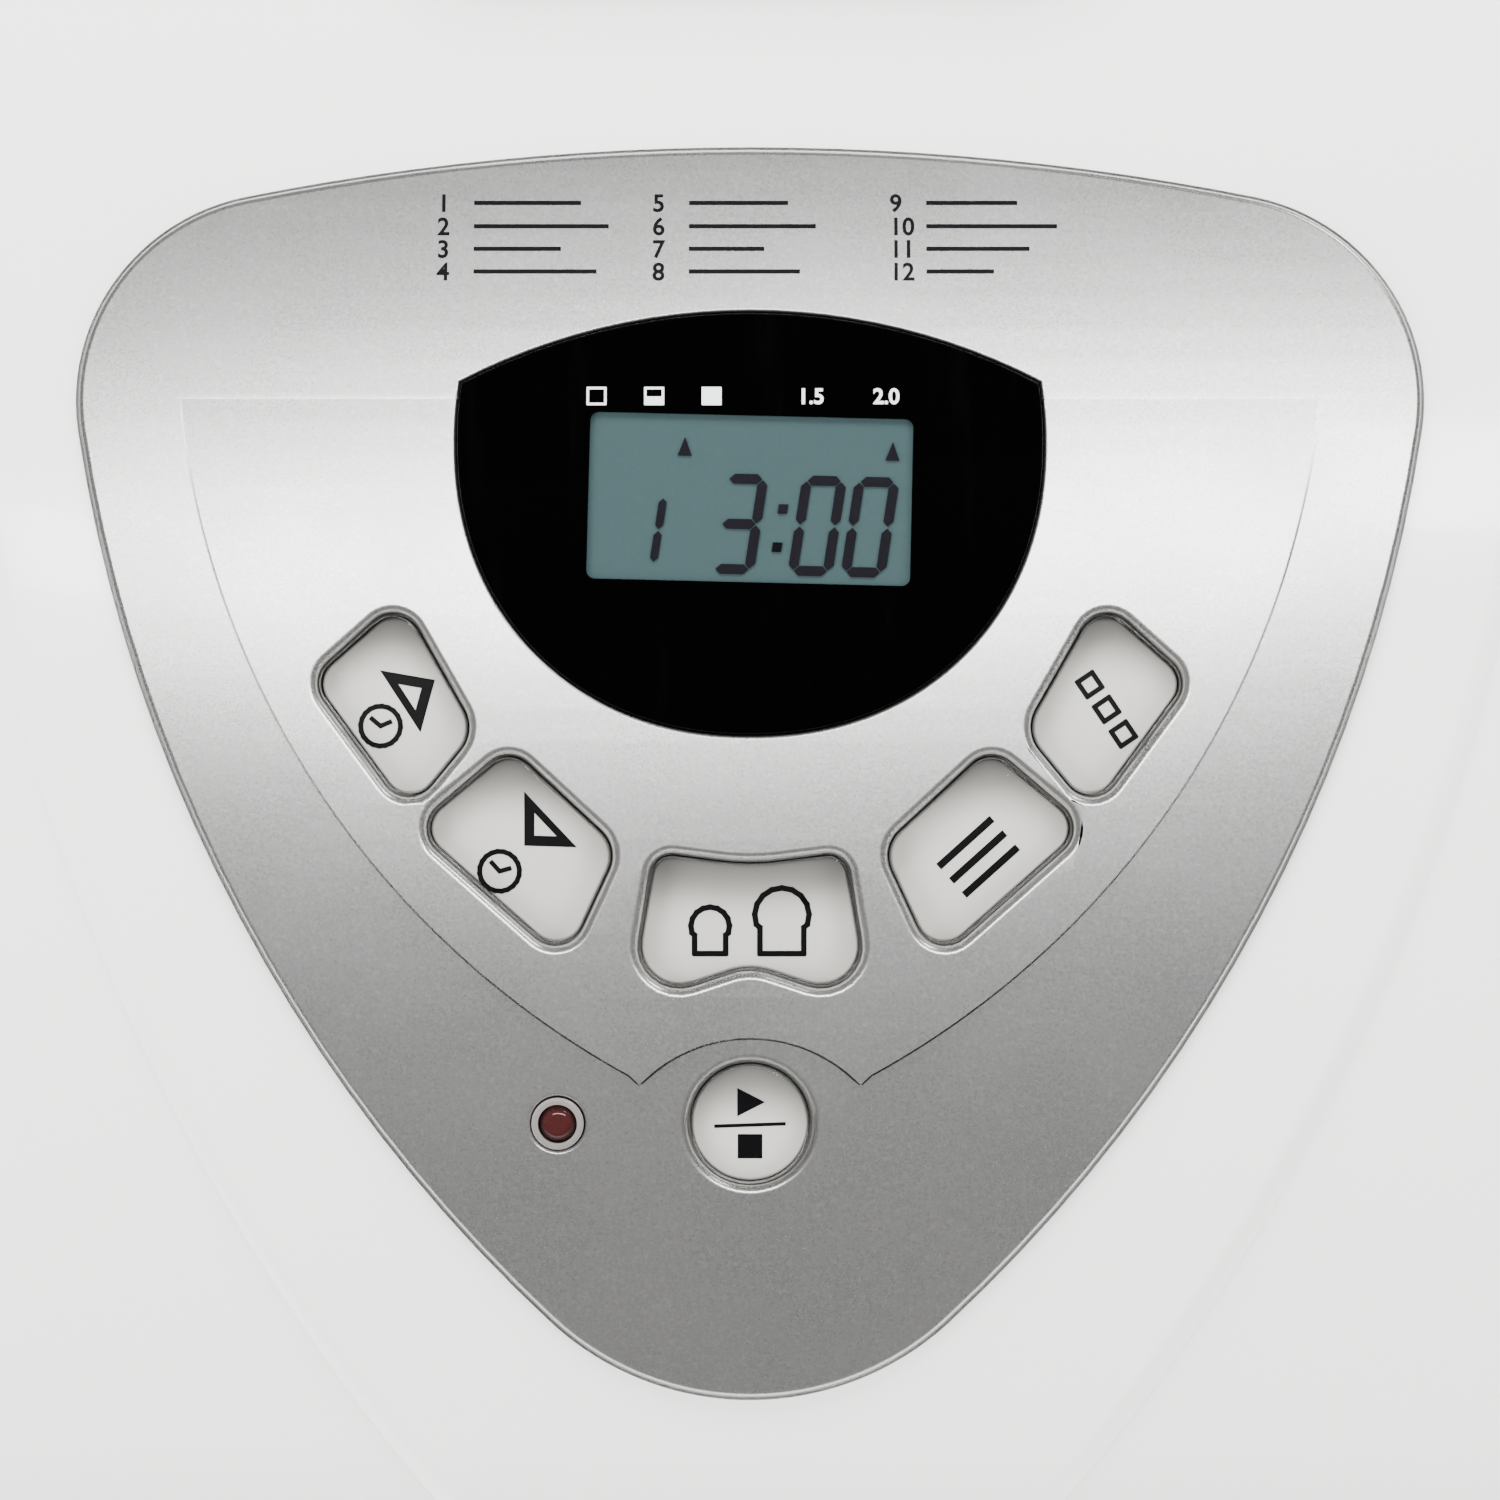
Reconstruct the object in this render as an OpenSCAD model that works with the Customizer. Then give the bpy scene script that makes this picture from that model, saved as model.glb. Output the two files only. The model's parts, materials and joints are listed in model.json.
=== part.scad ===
/* [Body] */
// Width of the body, side to side
body_w = 270; // [250:1:340]
// Depth of the body, front wall to rear wall
body_d = 350; // [345:1:430]
// Height of the front wall, up to where it starts to roll over
front_h = 109; // [100:1:140]
// Wall thickness of the plastic shells
wall = 3; // [2:0.1:4]
// Radius of the four upright corners
corner_r = 42; // [25:1:60]
// Radius of the roll from the front wall into the deck
roll_r = 45; // [30:1:60]
// Radius of the curved deck that carries the panel
deck_r = 520; // [400:10:700]
// Height of the seam between body and lid
rim_z = 236; // [230:1:250]
// Radius of the fold from the lid top into the rear wall
rear_r = 40; // [20:1:60]
// How far the centre field stands above the flanks
bib_h = 1.2; // [0.6:0.1:2]
// Height of the feet
foot_h = 8; // [6:0.5:12]
// Radius of a foot
foot_r = 11; // [8:0.5:14]

/* [Control panel] */
// Half the length of the panel, down the slope
panel_half = 79; // [76:0.5:86]
// How far the panel stands proud of the deck
panel_proud = 1; // [0.5:0.1:2]
// Thickness of the panel
panel_t = 2.5; // [2:0.1:4]
// Gap between the panel and the edge of its seat
panel_gap = 0.4; // [0.2:0.05:0.8]
// Moat between a button and the panel
button_gap = 0.55; // [0.4:0.05:0.8]
// How far a button stands above the panel
button_proud = 1.1; // [0.6:0.1:2]
// Travel of a button
button_travel = 1; // [0.6:0.1:1.2]
// Radius of the start button
start_r = 7.5; // [6:0.1:8.5]

/* [Lid] */
// Gap between the lid and the body
lid_gap = 0.6; // [0.4:0.1:1.5]
// Width of the window
window_w = 120; // [80:1:150]
// Depth of the window
window_d = 64; // [40:1:80]
// Radius of a hinge pin
pin_r = 2.5; // [2:0.1:3]

/* [Baking pan] */
// Width of the pan
pan_w = 180; // [160:1:216]
// Depth of the pan
pan_d = 128; // [120:1:132]
// Height of the pan
pan_h = 132; // [110:1:136]
// Corner radius of the pan
pan_r = 24; // [15:1:35]
// Sheet thickness of the pan
pan_t = 1.2; // [1:0.1:2]
// Air gap between the pan and the chamber
pan_air = 16; // [14:0.5:20]
// Radius of the bail wire
bail_r = 2; // [1.5:0.1:3]

/* [Drive] */
// Radius of the driven shafts
shaft_r = 4; // [3:0.1:5]
// Running clearance of the shafts in their bushes
run_gap = 0.05; // [0.03:0.01:0.09]
// Radius of the large pulley
big_pulley_r = 50; // [40:1:52]
// Radius of the small pulley
small_pulley_r = 8; // [7:0.5:12]
// Width of the belt
belt_w = 8; // [6:0.5:9]

/* [Hidden] */
$fn = 48;
eps = 0.01;

// Slopes of the deck: at its foot, at the panel's centre and at the lid
foot_slope = 48;
panel_slope = 38.5;
lid_slope = 27;

// The knuckles stand behind the rear wall, and the depth with them is centred on Y
knuckle_r = 5.8;
hinge_back = 6.2;
hinge_rise = 6;
total_d = body_d + hinge_back + knuckle_r;
front_y = -total_d / 2;
rear_y = front_y + body_d;
hinge_y = rear_y + hinge_back;
hinge_z = rim_z + hinge_rise;

// The deck starts where the roll ends, and ends where the lid starts
deck_y0 = front_y + roll_r * (1 - cos(90 - foot_slope));
deck_z0 = front_h + roll_r * sin(90 - foot_slope);
lid_y = deck_y0 + deck_r * (sin(foot_slope) - sin(lid_slope));
lid_z = deck_z0 + deck_r * (cos(lid_slope) - cos(foot_slope));
top_r = (rear_y - rear_r - lid_y) / sin(lid_slope);
top_z = lid_z + top_r * (1 - cos(lid_slope));
panel_y = deck_y0 + deck_r * (sin(foot_slope) - sin(panel_slope));
panel_z = deck_z0 + deck_r * (cos(panel_slope) - cos(foot_slope));

// The baking chamber stands as far back as its insulation gap allows
chamber_t = 1;
insulation = 12;
flange_w = 6;
chamber_w = pan_w + 2 * pan_air;
chamber_d = pan_d + 2 * pan_air;
chamber_r = pan_r + 4;
chamber_y = rear_y - wall - insulation - chamber_t - chamber_d / 2;
chamber_top = rim_z - wall;
tray_t = 3;
tray_top = foot_h + tray_t;
pulley_z = tray_top + 9;
pulley_h = belt_w + 2;
housing_z = pulley_z + pulley_h + 4;
housing_h = 28;
chamber_z = housing_z + housing_h;
floor_z = chamber_z + chamber_t;

// The pan hangs over its seat ring, and its shaft turns on the drive dog
seat_h = 10;
dog_z = floor_z + 2;
dog_disc = 3.5;
lug_h = 4;
coupler_z = dog_z + dog_disc + lug_h + 0.7;
coupler_disc = 2.8;
pan_z = floor_z + 17;
pan_floor = pan_z + pan_t;
pan_top = pan_z + pan_h;
bush_top = pan_floor + 9;
bail_z = pan_top - 6;
bail_x = pan_w / 2 + 6;
bail_arm = pan_d / 2 + 8;

// The motor stands in front of the chamber, on the centre line
motor_room = 52;
motor_y = chamber_y - chamber_d / 2 - chamber_t - motor_room;
motor_z = housing_z + 8;
stator_h = 40;
stator_w = 64;
rotor_r = 22;
belt_slack = 0.3;
belt_t = 1.5;

// The centre field's edge is one arc on each side, in the panel's plane
bib_arc_r = 279;
bib_arc_c = [-180, 83.7];

// Stack below the panel: flanges, switches and the board, as depths from the deck
flange_t = 2;
flange_lip = button_gap + 0.45;
board_n = -14;
board_t = 1.6;
board_size = [108, 102];
board_at = [-54, -50];
post_r = 3.2;
switch_h = 3;
plunger_h = 0.5;
stem_n = board_n + board_t + switch_h + plunger_h + button_travel + 0.1;
post_at = [[50, 40], [-50, 40], [34, -34], [-34, -34]];
led_at = [-24.1, -43.8];
start_at = [0, -43.9];

// ---- shapes in the plane ----

// Points of an arc from angle a to angle b, with its radius and centre
function arc(r, a, b, c = [0, 0], n = 16) =
  [for (i = [0 : n]) let (t = a + (b - a) * i / n) c + r * [cos(t), sin(t)]];

function mirrored(p) = [for (i = [len(p) - 1 : -1 : 0]) [-p[i][0], p[i][1]]];

// One corner of a polygon rounded with radius p[2]
function round_corner(a, p, b, n = 8) =
  let (q = [p[0], p[1]], da = [a[0], a[1]] - q, db = [b[0], b[1]] - q,
       ua = da / norm(da), ub = db / norm(db), half = acos(ua * ub) / 2,
       c = q + (ua + ub) / norm(ua + ub) * p[2] / sin(half), cut = p[2] / tan(half),
       t0 = atan2((q + ua * cut - c)[1], (q + ua * cut - c)[0]),
       t1 = atan2((q + ub * cut - c)[1], (q + ub * cut - c)[0]),
       turn = t1 - t0 > 180 ? t1 - t0 - 360 : t1 - t0 < -180 ? t1 - t0 + 360 : t1 - t0)
  arc(p[2], t0, t0 + turn, c, n);

function rounded(p) =
  [for (i = [0 : len(p) - 1])
    each round_corner(p[(i + len(p) - 1) % len(p)], p[i], p[(i + 1) % len(p)])];

// The shield: a shallow top arc, two shoulders, two long sides and a tip, all tangent
shoulder = [58.5, 47.3];
shoulder_r = 25.8;
tip_r = 36;
side_r = 200;
function shield(d = 0) =
  let (drop = panel_half - shoulder[1],
       top_arc = (shoulder[0] * shoulder[0] + drop * drop - shoulder_r * shoulder_r)
                 / (2 * (drop - shoulder_r)),
       top_c = [0, panel_half - top_arc],
       tip_c = [0, tip_r - panel_half],
       r0 = side_r - shoulder_r, r1 = side_r - tip_r,
       line = tip_c - shoulder, gap = norm(line),
       along = (gap * gap + r0 * r0 - r1 * r1) / (2 * gap),
       off = sqrt(r0 * r0 - along * along),
       side_c = shoulder + line / gap * along + [line[1], -line[0]] / gap * off,
       a1 = atan2((shoulder - top_c)[1], (shoulder - top_c)[0]),
       a2 = atan2((shoulder - side_c)[1], (shoulder - side_c)[0]),
       a3 = atan2((tip_c - side_c)[1], (tip_c - side_c)[0]),
       half = concat(arc(top_arc + d, 90, a1, top_c, 8), arc(shoulder_r + d, a1, a2, shoulder, 12),
                     arc(side_r + d, a2, a3, side_c, 12), arc(tip_r + d, a3, -90, tip_c, 12)))
  concat(half, mirrored(half));

// The lens: a soft round bowl cut by a shallow top arc, which leaves two points
module lens_plane() {
  n = 2.15;
  intersection() {
    translate([0, 41.8])
      polygon([for (t = [0 : 5 : 355]) [36.8 * sign(cos(t)) * pow(abs(cos(t)), 2 / n),
                                       37 * sign(sin(t)) * pow(abs(sin(t)), 2 / n)]]);
    translate([0, -20]) circle(r = 78, $fn = 180);
  }
}

// Outlines of the four time, crust and menu buttons, and of the waisted one
upper_button = [[-43.75, 21.75, 3.4], [-54.9, 11.75, 3.4], [-42.75, -4.75, 3.4], [-34.4, 5.4, 4.4]];
lower_button = [[-30, 3.25, 3.4], [-41.9, -6.75, 3.4], [-23.1, -23.5, 3.6], [-16.5, -9.25, 4.2]];
waist_button = [[-11.9, -9.9, 2.6], [-15.1, -28.9, 5], [0, -23.9, 8], [15.1, -28.9, 5],
                [11.9, -9.9, 2.6], [0, -11.4, 30]];

module upper_plane() { polygon(rounded(upper_button)); }
module lower_plane() { polygon(rounded(lower_button)); }
module waist_plane() { polygon(rounded(waist_button)); }
module start_plane() { translate(start_at) circle(r = start_r); }

// Plan of the body, inset by d
module plan(d = 0) {
  translate([0, front_y + body_d / 2]) round_rect(body_w - 2 * d, body_d - 2 * d, corner_r - d);
}

// Plan of the space inside the walls, inset by d
module inner_plan(d = 0) {
  translate([0, front_y + body_d / 2])
    round_rect(body_w - 2 * (wall + d), body_d - 2 * (wall + bib_h + d), corner_r - wall - d);
}

module round_rect(w, d, r) {
  square([w - 2 * r, d], center = true);
  square([w, d - 2 * r], center = true);
  for (x = [-1, 1], y = [-1, 1]) translate([x * (w / 2 - r), y * (d / 2 - r)]) circle(r = r, $fn = 64);
}

// Side view of the body, inset by d: front wall, roll, deck, lid and rear fold
function side_view(d = 0) =
  concat([[rear_y - d, 0], [front_y + d, 0]],
         arc(roll_r - d, 180, 90 + foot_slope, [front_y + roll_r, front_h], 12),
         arc(deck_r - d, 90 + foot_slope, 90 + lid_slope,
             [lid_y + deck_r * sin(lid_slope), lid_z - deck_r * cos(lid_slope)], 14),
         arc(top_r - d, 90 + lid_slope, 90, [rear_y - rear_r, top_z - top_r], 14),
         arc(rear_r - d, 90, 0, [rear_y - rear_r, top_z - rear_r], 12));

module side_prism(d = 0) {
  translate([-body_w, 0, 0]) rotate([90, 0, 90]) linear_extrude(2 * body_w) polygon(side_view(d));
}

// Moves its children into the panel's plane: X across, Y up the slope, Z out of the deck
module on_panel() { translate([0, panel_y, panel_z]) rotate([panel_slope, 0, 0]) children(); }

// A round bar across the body, whose top is the deck raised by d
module deck_bar(d) {
  translate([-body_w, 0, -deck_r]) rotate([0, 90, 0]) cylinder(r = deck_r + d, h = 2 * body_w, $fn = 360);
}

// Its outline raised to the deck's curve, between two heights
module curved_plate(low, high) {
  difference() {
    intersection() {
      translate([0, 0, -30]) linear_extrude(60) children();
      deck_bar(high);
    }
    deck_bar(low);
  }
}

// The centre field in the panel's plane, wide at the lid and pointed at the front
module bib_plane() {
  low = acos(-bib_arc_c[0] / bib_arc_r);
  half = concat([[bib_arc_r + bib_arc_c[0], 400]], arc(bib_arc_r, 0, -low, bib_arc_c, 24));
  polygon(concat(half, mirrored(half)));
}

// The outer form, inset by d: flanks, and the centre field that stands above them
module outer_form(d = 0) {
  intersection() {
    linear_extrude(top_z + 1) plan(d);
    side_prism(d + bib_h);
  }
  intersection() {
    linear_extrude(top_z + 1) plan(d);
    side_prism(d);
    on_panel() translate([0, 0, -body_d - top_z]) linear_extrude(2 * (body_d + top_z)) bib_plane();
  }
}

// All that is inside a wall
module inner_form() {
  intersection() {
    linear_extrude(top_z + 1) plan(wall);
    side_prism(wall + bib_h);
  }
}

// ---- housing ----

module body_shell() {
  color("white") difference() {
    outer_form();
    translate([-body_w, front_y - 1, -1]) cube([2 * body_w, body_d + 2, foot_h + 1]);
    // the space for the lid
    translate([-body_w, lid_y, rim_z]) cube([2 * body_w, body_d, top_z]);
    // the inside, under the deck and under the rim
    intersection() {
      inner_form();
      union() {
        translate([-body_w, front_y - 1, -1]) cube([2 * body_w, lid_y - wall - front_y + 1, top_z]);
        translate([-body_w, front_y - 1, -1]) cube([2 * body_w, body_d + 2, chamber_top + 1]);
        translate([-body_w, lid_y, -1]) cube([2 * body_w, body_d, top_z]);
      }
    }
    rear_opening();
    // the seat of the panel and the opening behind it
    on_panel() {
      curved_plate(panel_proud - panel_t, 20) polygon(shield(panel_gap));
      translate([0, 0, -20]) linear_extrude(40) polygon(shield(-5));
    }
    // slots that let warm air out of the flanks
    for (side = [-1, 1], i = [0 : 7])
      translate([side * body_w / 2, chamber_y + 12 * (i - 3.5), chamber_z - 20])
        cube([4 * wall, 4, 26], center = true);
  }
}

// The frame around the mouth of the chamber, which closes the top of the body under the lid
module rim_frame() {
  color("white") difference() {
    intersection() {
      inner_form();
      translate([-body_w, lid_y, chamber_top]) cube([2 * body_w, body_d, wall]);
    }
    translate([0, chamber_y, chamber_top - 1]) linear_extrude(wall + 2)
      round_rect(chamber_w, chamber_d, chamber_r);
  }
}

// The flat part of the rear wall that the rear cover fills
cover_top = foot_h + 72;
module rear_opening() {
  half = body_w / 2 - corner_r - 2;
  translate([-half, rear_y - wall - bib_h - 1, 0]) cube([2 * half, wall + bib_h + 2, cover_top]);
}

module rear_cover() {
  color("white") difference() {
    intersection() {
      rear_opening();
      translate([-body_w, rear_y - wall - bib_h, foot_h]) cube([2 * body_w, wall + bib_h, body_d]);
    }
    gland_axis() translate([0, 0, -wall - bib_h - 1]) cylinder(r = gland_r, h = wall + bib_h + 2);
  }
}

tray_gap = 0.3;
tray_rim_t = 2.5;
tray_rim_h = 8;
boss_r = 6;
module base_tray() {
  color("dimgray") difference() {
    union() {
      translate([0, 0, foot_h]) linear_extrude(tray_t) inner_plan(tray_gap);
      translate([0, 0, foot_h]) linear_extrude(tray_t + tray_rim_h) difference() {
        inner_plan(tray_gap);
        inner_plan(tray_gap + tray_rim_t);
      }
      feet_at() cylinder(r = boss_r, h = tray_t + 7);
    }
    feet_at() translate([0, 0, -5]) cylinder(r = 2, h = 20);
    // slots that let cool air in under the chamber
    for (x = [-4 : 4]) translate([x * 14, chamber_y + 20, 0]) cube([5, 60, 60], center = true);
    gland_axis() translate([0, 0, -20]) cylinder(r = gland_r + gland_lip + tray_gap, h = 30);
  }
}

foot_in = 38;
module feet_at(x = [-1, 1], y = [0, 1]) {
  for (i = x, j = y)
    translate([i * (body_w / 2 - foot_in), j == 0 ? front_y + foot_in : rear_y - foot_in, foot_h]) children();
}

module foot(x, y) {
  color("dimgray") feet_at([x], [y]) rotate([180, 0, 0]) difference() {
    union() {
      cylinder(r = foot_r, h = foot_h - 2);
      cylinder(r = foot_r - 1.5, h = foot_h);
    }
    translate([0, 0, 3]) cylinder(r = 5, h = foot_h);
    translate([0, 0, -1]) cylinder(r = 2.2, h = foot_h);
  }
}

module base_screws() {
  color("silver") feet_at() {
    translate([0, 0, -3]) cylinder(r = 1.95, h = 12);
    translate([0, 0, -5.5]) cylinder(r = 4, h = 2.5);
  }
}

gland_r = 8;
gland_lip = 3;
gland_in = 13;
module gland_axis() {
  translate([body_w / 2 - corner_r - 18, rear_y, foot_h + 20]) rotate([-90, 0, 0]) children();
}

cord_bore_r = 3.6;
module cord_gland() {
  color("white") gland_axis() difference() {
    union() {
      translate([0, 0, -gland_in]) cylinder(r = gland_r - 0.2, h = gland_in + 0.5);
      cylinder(r = gland_r + gland_lip, h = 4);
      translate([0, 0, -wall - bib_h - gland_lip]) cylinder(r = gland_r + gland_lip, h = gland_lip);
    }
    translate([0, 0, -20]) cylinder(r = cord_bore_r, h = 40);
  }
}

// ---- control panel ----

// The field inside the step line, which runs out before the shoulders
field_top = 47;
field_arc_r = 110;
field_arc_c = [38.1, 58.7];
field_tilt = 0.6;
field_round = [0, -52];
field_round_r = 19.1;
module field_plane() {
  low = asin((39 + field_arc_c[1]) / field_arc_r);
  high = asin((field_arc_c[1] - field_top) / field_arc_r);
  half = arc(field_arc_r, 180 + high, 180 + low, field_arc_c, 24);
  difference() {
    polygon(concat(half, mirrored(half)));
    translate(field_round) circle(r = field_round_r, $fn = 96);
  }
}

module control_bezel() {
  color("silver") on_panel() difference() {
    union() {
      curved_plate(panel_proud - panel_t, panel_proud) polygon(shield());
      difference() {
        intersection() {
          translate([0, 0, -30]) linear_extrude(60) field_plane();
          translate([0, field_top, 0]) rotate([-field_tilt, 0, 0]) translate([0, -field_top, 0])
            deck_bar(panel_proud);
        }
        deck_bar(panel_proud - panel_t);
      }
      for (p = post_at) translate([p[0], p[1], board_n + board_t])
        cylinder(r = post_r, h = -board_n - board_t - panel_t);
    }
    translate([0, 0, -40]) linear_extrude(80) {
      lens_plane();
      for (m = [0, 1]) mirror([m, 0]) {
        offset(delta = button_gap) upper_plane();
        offset(delta = button_gap) lower_plane();
      }
      offset(delta = button_gap) waist_plane();
    }
    translate([start_at[0], start_at[1], -30]) cylinder(r = start_r + button_gap, h = 60);
    translate([led_at[0], led_at[1], -30]) cylinder(r = ring_r, h = 60);
    for (p = post_at) translate([p[0], p[1], board_n]) cylinder(r = 1.2, h = 7.5);
  }
}

module display_lens() {
  color("black") on_panel() {
    curved_plate(panel_proud - panel_t - eps, panel_proud + 0.7) offset(delta = -0.1) lens_plane();
    curved_plate(panel_proud - panel_t - 1, panel_proud - panel_t) offset(delta = 1.2) lens_plane();
  }
}

lcd_size = [40.5, 21];
lcd_at = [0, 34.4];
lcd_turn = -1.4;
module lcd_module() {
  color("slategray") on_panel() translate([lcd_at[0], lcd_at[1], 0]) rotate([0, 0, lcd_turn]) {
    translate([0, 0, -6.5]) cube([lcd_size[0] + 6, lcd_size[1] + 6, 3], center = true);
    translate([0, 0, -10.2]) cube([lcd_size[0], 8, 4.4], center = true);
  }
}

ring_r = 3.4;
led_r = 2.4;
module indicator_ring() {
  color("gainsboro") on_panel() translate([led_at[0], led_at[1], 0]) difference() {
    union() {
      translate([0, 0, -7]) cylinder(r = ring_r - 0.1, h = 6.6);
      translate([0, 0, -5.2]) cylinder(r = ring_r + 1.2, h = 1.4);
    }
    translate([0, 0, -20]) cylinder(r = led_r + 0.1, h = 40);
  }
}

module indicator_led() {
  color("darkred") on_panel() translate([led_at[0], led_at[1], 0]) {
    translate([0, 0, -9]) cylinder(r = led_r, h = 8);
    translate([0, 0, -1]) difference() {
      translate([0, 0, -led_r * 1.2]) sphere(r = led_r * 1.7);
      translate([0, 0, -10]) cylinder(r = 9, h = 10);
      difference() {
        translate([0, 0, -1]) cylinder(r = 9, h = 9);
        translate([0, 0, -2]) cylinder(r = led_r, h = 11);
      }
    }
    for (x = [-1.2, 1.2]) translate([x, 0, board_n + board_t]) cylinder(r = 0.4, h = 4);
  }
}

module control_board() {
  color("darkgreen") on_panel() difference() {
    translate([board_at[0], board_at[1], board_n]) cube([board_size[0], board_size[1], board_t]);
    for (p = post_at) translate([p[0], p[1], board_n - 1]) cylinder(r = 1.6, h = 5);
  }
}

module board_screws() {
  color("silver") on_panel() for (p = post_at) translate([p[0], p[1], board_n - 2]) {
    cylinder(r = 2.8, h = 2);
    cylinder(r = 1.15, h = 8);
  }
}

button_centres = [[-44.1, 8.6], [44.1, 8.6], [-28, -9], [28, -9], [0, -18.5], start_at];
module tact_switches() {
  color("dimgray") on_panel() for (p = button_centres) translate([p[0], p[1], board_n + board_t]) {
    translate([-3, -3, 0]) cube([6, 6, switch_h]);
    cylinder(r = 1.75, h = switch_h + plunger_h);
  }
}

// A button: its cap in the moat, a flange below the panel and a stem over its switch
module button(at) {
  low = panel_proud - panel_t - 0.3 - flange_t;
  color("gainsboro") on_panel() {
    curved_plate(low, panel_proud + button_proud) children();
    curved_plate(low, low + flange_t) offset(delta = flange_lip) children();
    intersection() {
      translate([at[0], at[1], stem_n]) cylinder(r = 2, h = -stem_n);
      deck_bar(low + flange_t / 2);
    }
  }
}

module time_up_button() { button(button_centres[0]) upper_plane(); }
module time_down_button() { button(button_centres[2]) lower_plane(); }
module crust_button() { button(button_centres[1]) mirror([1, 0]) upper_plane(); }
module menu_button() { button(button_centres[3]) mirror([1, 0]) lower_plane(); }
module loaf_size_button() { button(button_centres[4]) waist_plane(); }
module start_stop_button() { button(start_at) start_plane(); }

// ---- baking chamber ----

element_z = pan_z - 3;
element_r = 3.2;
element_x = pan_w / 2 + pan_air / 2;
element_y = pan_d / 2 + pan_air / 2;
element_bend = 20;
element_gap = 12;
// Room between the chamber and the side wall, which the element's tails and the sensor share
side_room = body_w / 2 - wall - chamber_w / 2 - chamber_t;
element_tail = chamber_w / 2 + chamber_t + 0.52 * side_room - element_x;
sensor_tail = 0.32 * side_room;
sensor_r = 2.5;
shaft_hole_r = 9;

module oven_chamber() {
  color("silver") difference() {
    union() {
      translate([0, chamber_y, chamber_z]) linear_extrude(chamber_top - chamber_z)
        round_rect(chamber_w + 2 * chamber_t, chamber_d + 2 * chamber_t, chamber_r + chamber_t);
      translate([0, chamber_y, chamber_top - chamber_t]) linear_extrude(chamber_t)
        round_rect(chamber_w + 2 * flange_w, chamber_d + 2 * flange_w, chamber_r + flange_w);
    }
    translate([0, chamber_y, floor_z]) linear_extrude(chamber_top)
      round_rect(chamber_w, chamber_d, chamber_r);
    translate([0, chamber_y, chamber_z - 5]) cylinder(r = shaft_hole_r, h = 10);
    for (y = [-1, 1]) translate([chamber_w / 2 - 5, chamber_y + y * element_gap, element_z])
      rotate([0, 90, 0]) cylinder(r = 5, h = 10);
    sensor_axis() translate([0, 0, -15]) cylinder(r = sensor_r + 0.1, h = 30);
  }
}

module element_corner() {
  rotate_extrude(angle = 90, $fn = 64) translate([element_bend, 0]) circle(r = element_r, $fn = 32);
}

module heating_element() {
  sx = element_x - element_bend;
  sy = element_y - element_bend;
  color("dimgray") translate([0, chamber_y, element_z]) {
    for (m = [0, 1]) mirror([m, 0, 0]) {
      translate([sx, sy, 0]) element_corner();
      translate([sx, -sy, 0]) rotate([0, 0, -90]) element_corner();
    }
    for (y = [-1, 1]) {
      translate([-sx, y * element_y, 0]) rotate([0, 90, 0]) cylinder(r = element_r, h = 2 * sx, $fn = 32);
      translate([element_x, y * element_gap, 0]) rotate([-90 * y, 0, 0])
        cylinder(r = element_r, h = sy - element_gap, $fn = 32);
      translate([element_x, y * element_gap, 0]) sphere(r = element_r, $fn = 32);
      translate([element_x, y * element_gap, 0]) rotate([0, 90, 0])
        cylinder(r = element_r, h = element_tail, $fn = 32);
    }
    translate([-element_x, -sy, 0]) rotate([-90, 0, 0]) cylinder(r = element_r, h = 2 * sy, $fn = 32);
  }
}

module element_clips() {
  color("silver") for (x = [-1, 1], y = [-1, 1])
    translate([x * pan_w / 3, chamber_y + y * element_y, floor_z]) difference() {
      translate([-4, -5, 0]) cube([8, 10, element_z - floor_z + 1]);
      translate([-10, 0, element_z - floor_z]) rotate([0, 90, 0]) cylinder(r = element_r + 0.1, h = 20);
    }
}

module element_bushes() {
  color("ivory") for (y = [-1, 1]) translate([chamber_w / 2, chamber_y + y * element_gap, element_z])
    rotate([0, 90, 0]) difference() {
      union() {
        translate([0, 0, -1]) cylinder(r = 4.9, h = 8);
        translate([0, 0, chamber_t]) cylinder(r = 8, h = 3);
      }
      translate([0, 0, -5]) cylinder(r = element_r + 0.1, h = 20);
    }
}

module sensor_axis() {
  translate([-chamber_w / 2 - chamber_t, chamber_y + 30, floor_z + 60]) rotate([0, -90, 0]) children();
}

module temperature_sensor() {
  color("silver") sensor_axis() {
    translate([0, 0, -8]) cylinder(r = sensor_r, h = 8 + sensor_tail);
    cylinder(r = 6, h = sensor_tail / 4);
  }
}

module thermal_fuse() {
  color("ivory") translate([chamber_w / 2 + chamber_t, chamber_y - 12, floor_z + 80]) {
    cube([1.5, 24, 12]);
    translate([4, 0, 6]) rotate([-90, 0, 0]) cylinder(r = 3, h = 24);
  }
}

seat_r = 46;
seat_t = 3;
module pan_seat() {
  color("silver") translate([0, chamber_y, floor_z]) difference() {
    cylinder(r = seat_r, h = seat_h, $fn = 96);
    translate([0, 0, 2]) cylinder(r = seat_r - seat_t, h = seat_h, $fn = 96);
    translate([0, 0, -1]) cylinder(r = 2 * shaft_hole_r, h = seat_h);
  }
}

// ---- drive ----

bush_r = 7;
bush_h = 10;
hub_r = bush_r + 4;
mount_r = 30;
mount_t = 4;
module bearing_housing() {
  color("gray") translate([0, chamber_y, housing_z]) difference() {
    union() {
      cylinder(r = hub_r, h = housing_h);
      translate([0, 0, housing_h - mount_t]) cylinder(r = mount_r, h = mount_t);
      for (a = [0 : 60 : 300]) rotate([0, 0, a]) translate([hub_r - 2, -1.5, 8])
        cube([mount_r - hub_r - 2, 3, housing_h - 9]);
    }
    translate([0, 0, -1]) cylinder(r = bush_r, h = housing_h + 2);
  }
}

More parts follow.
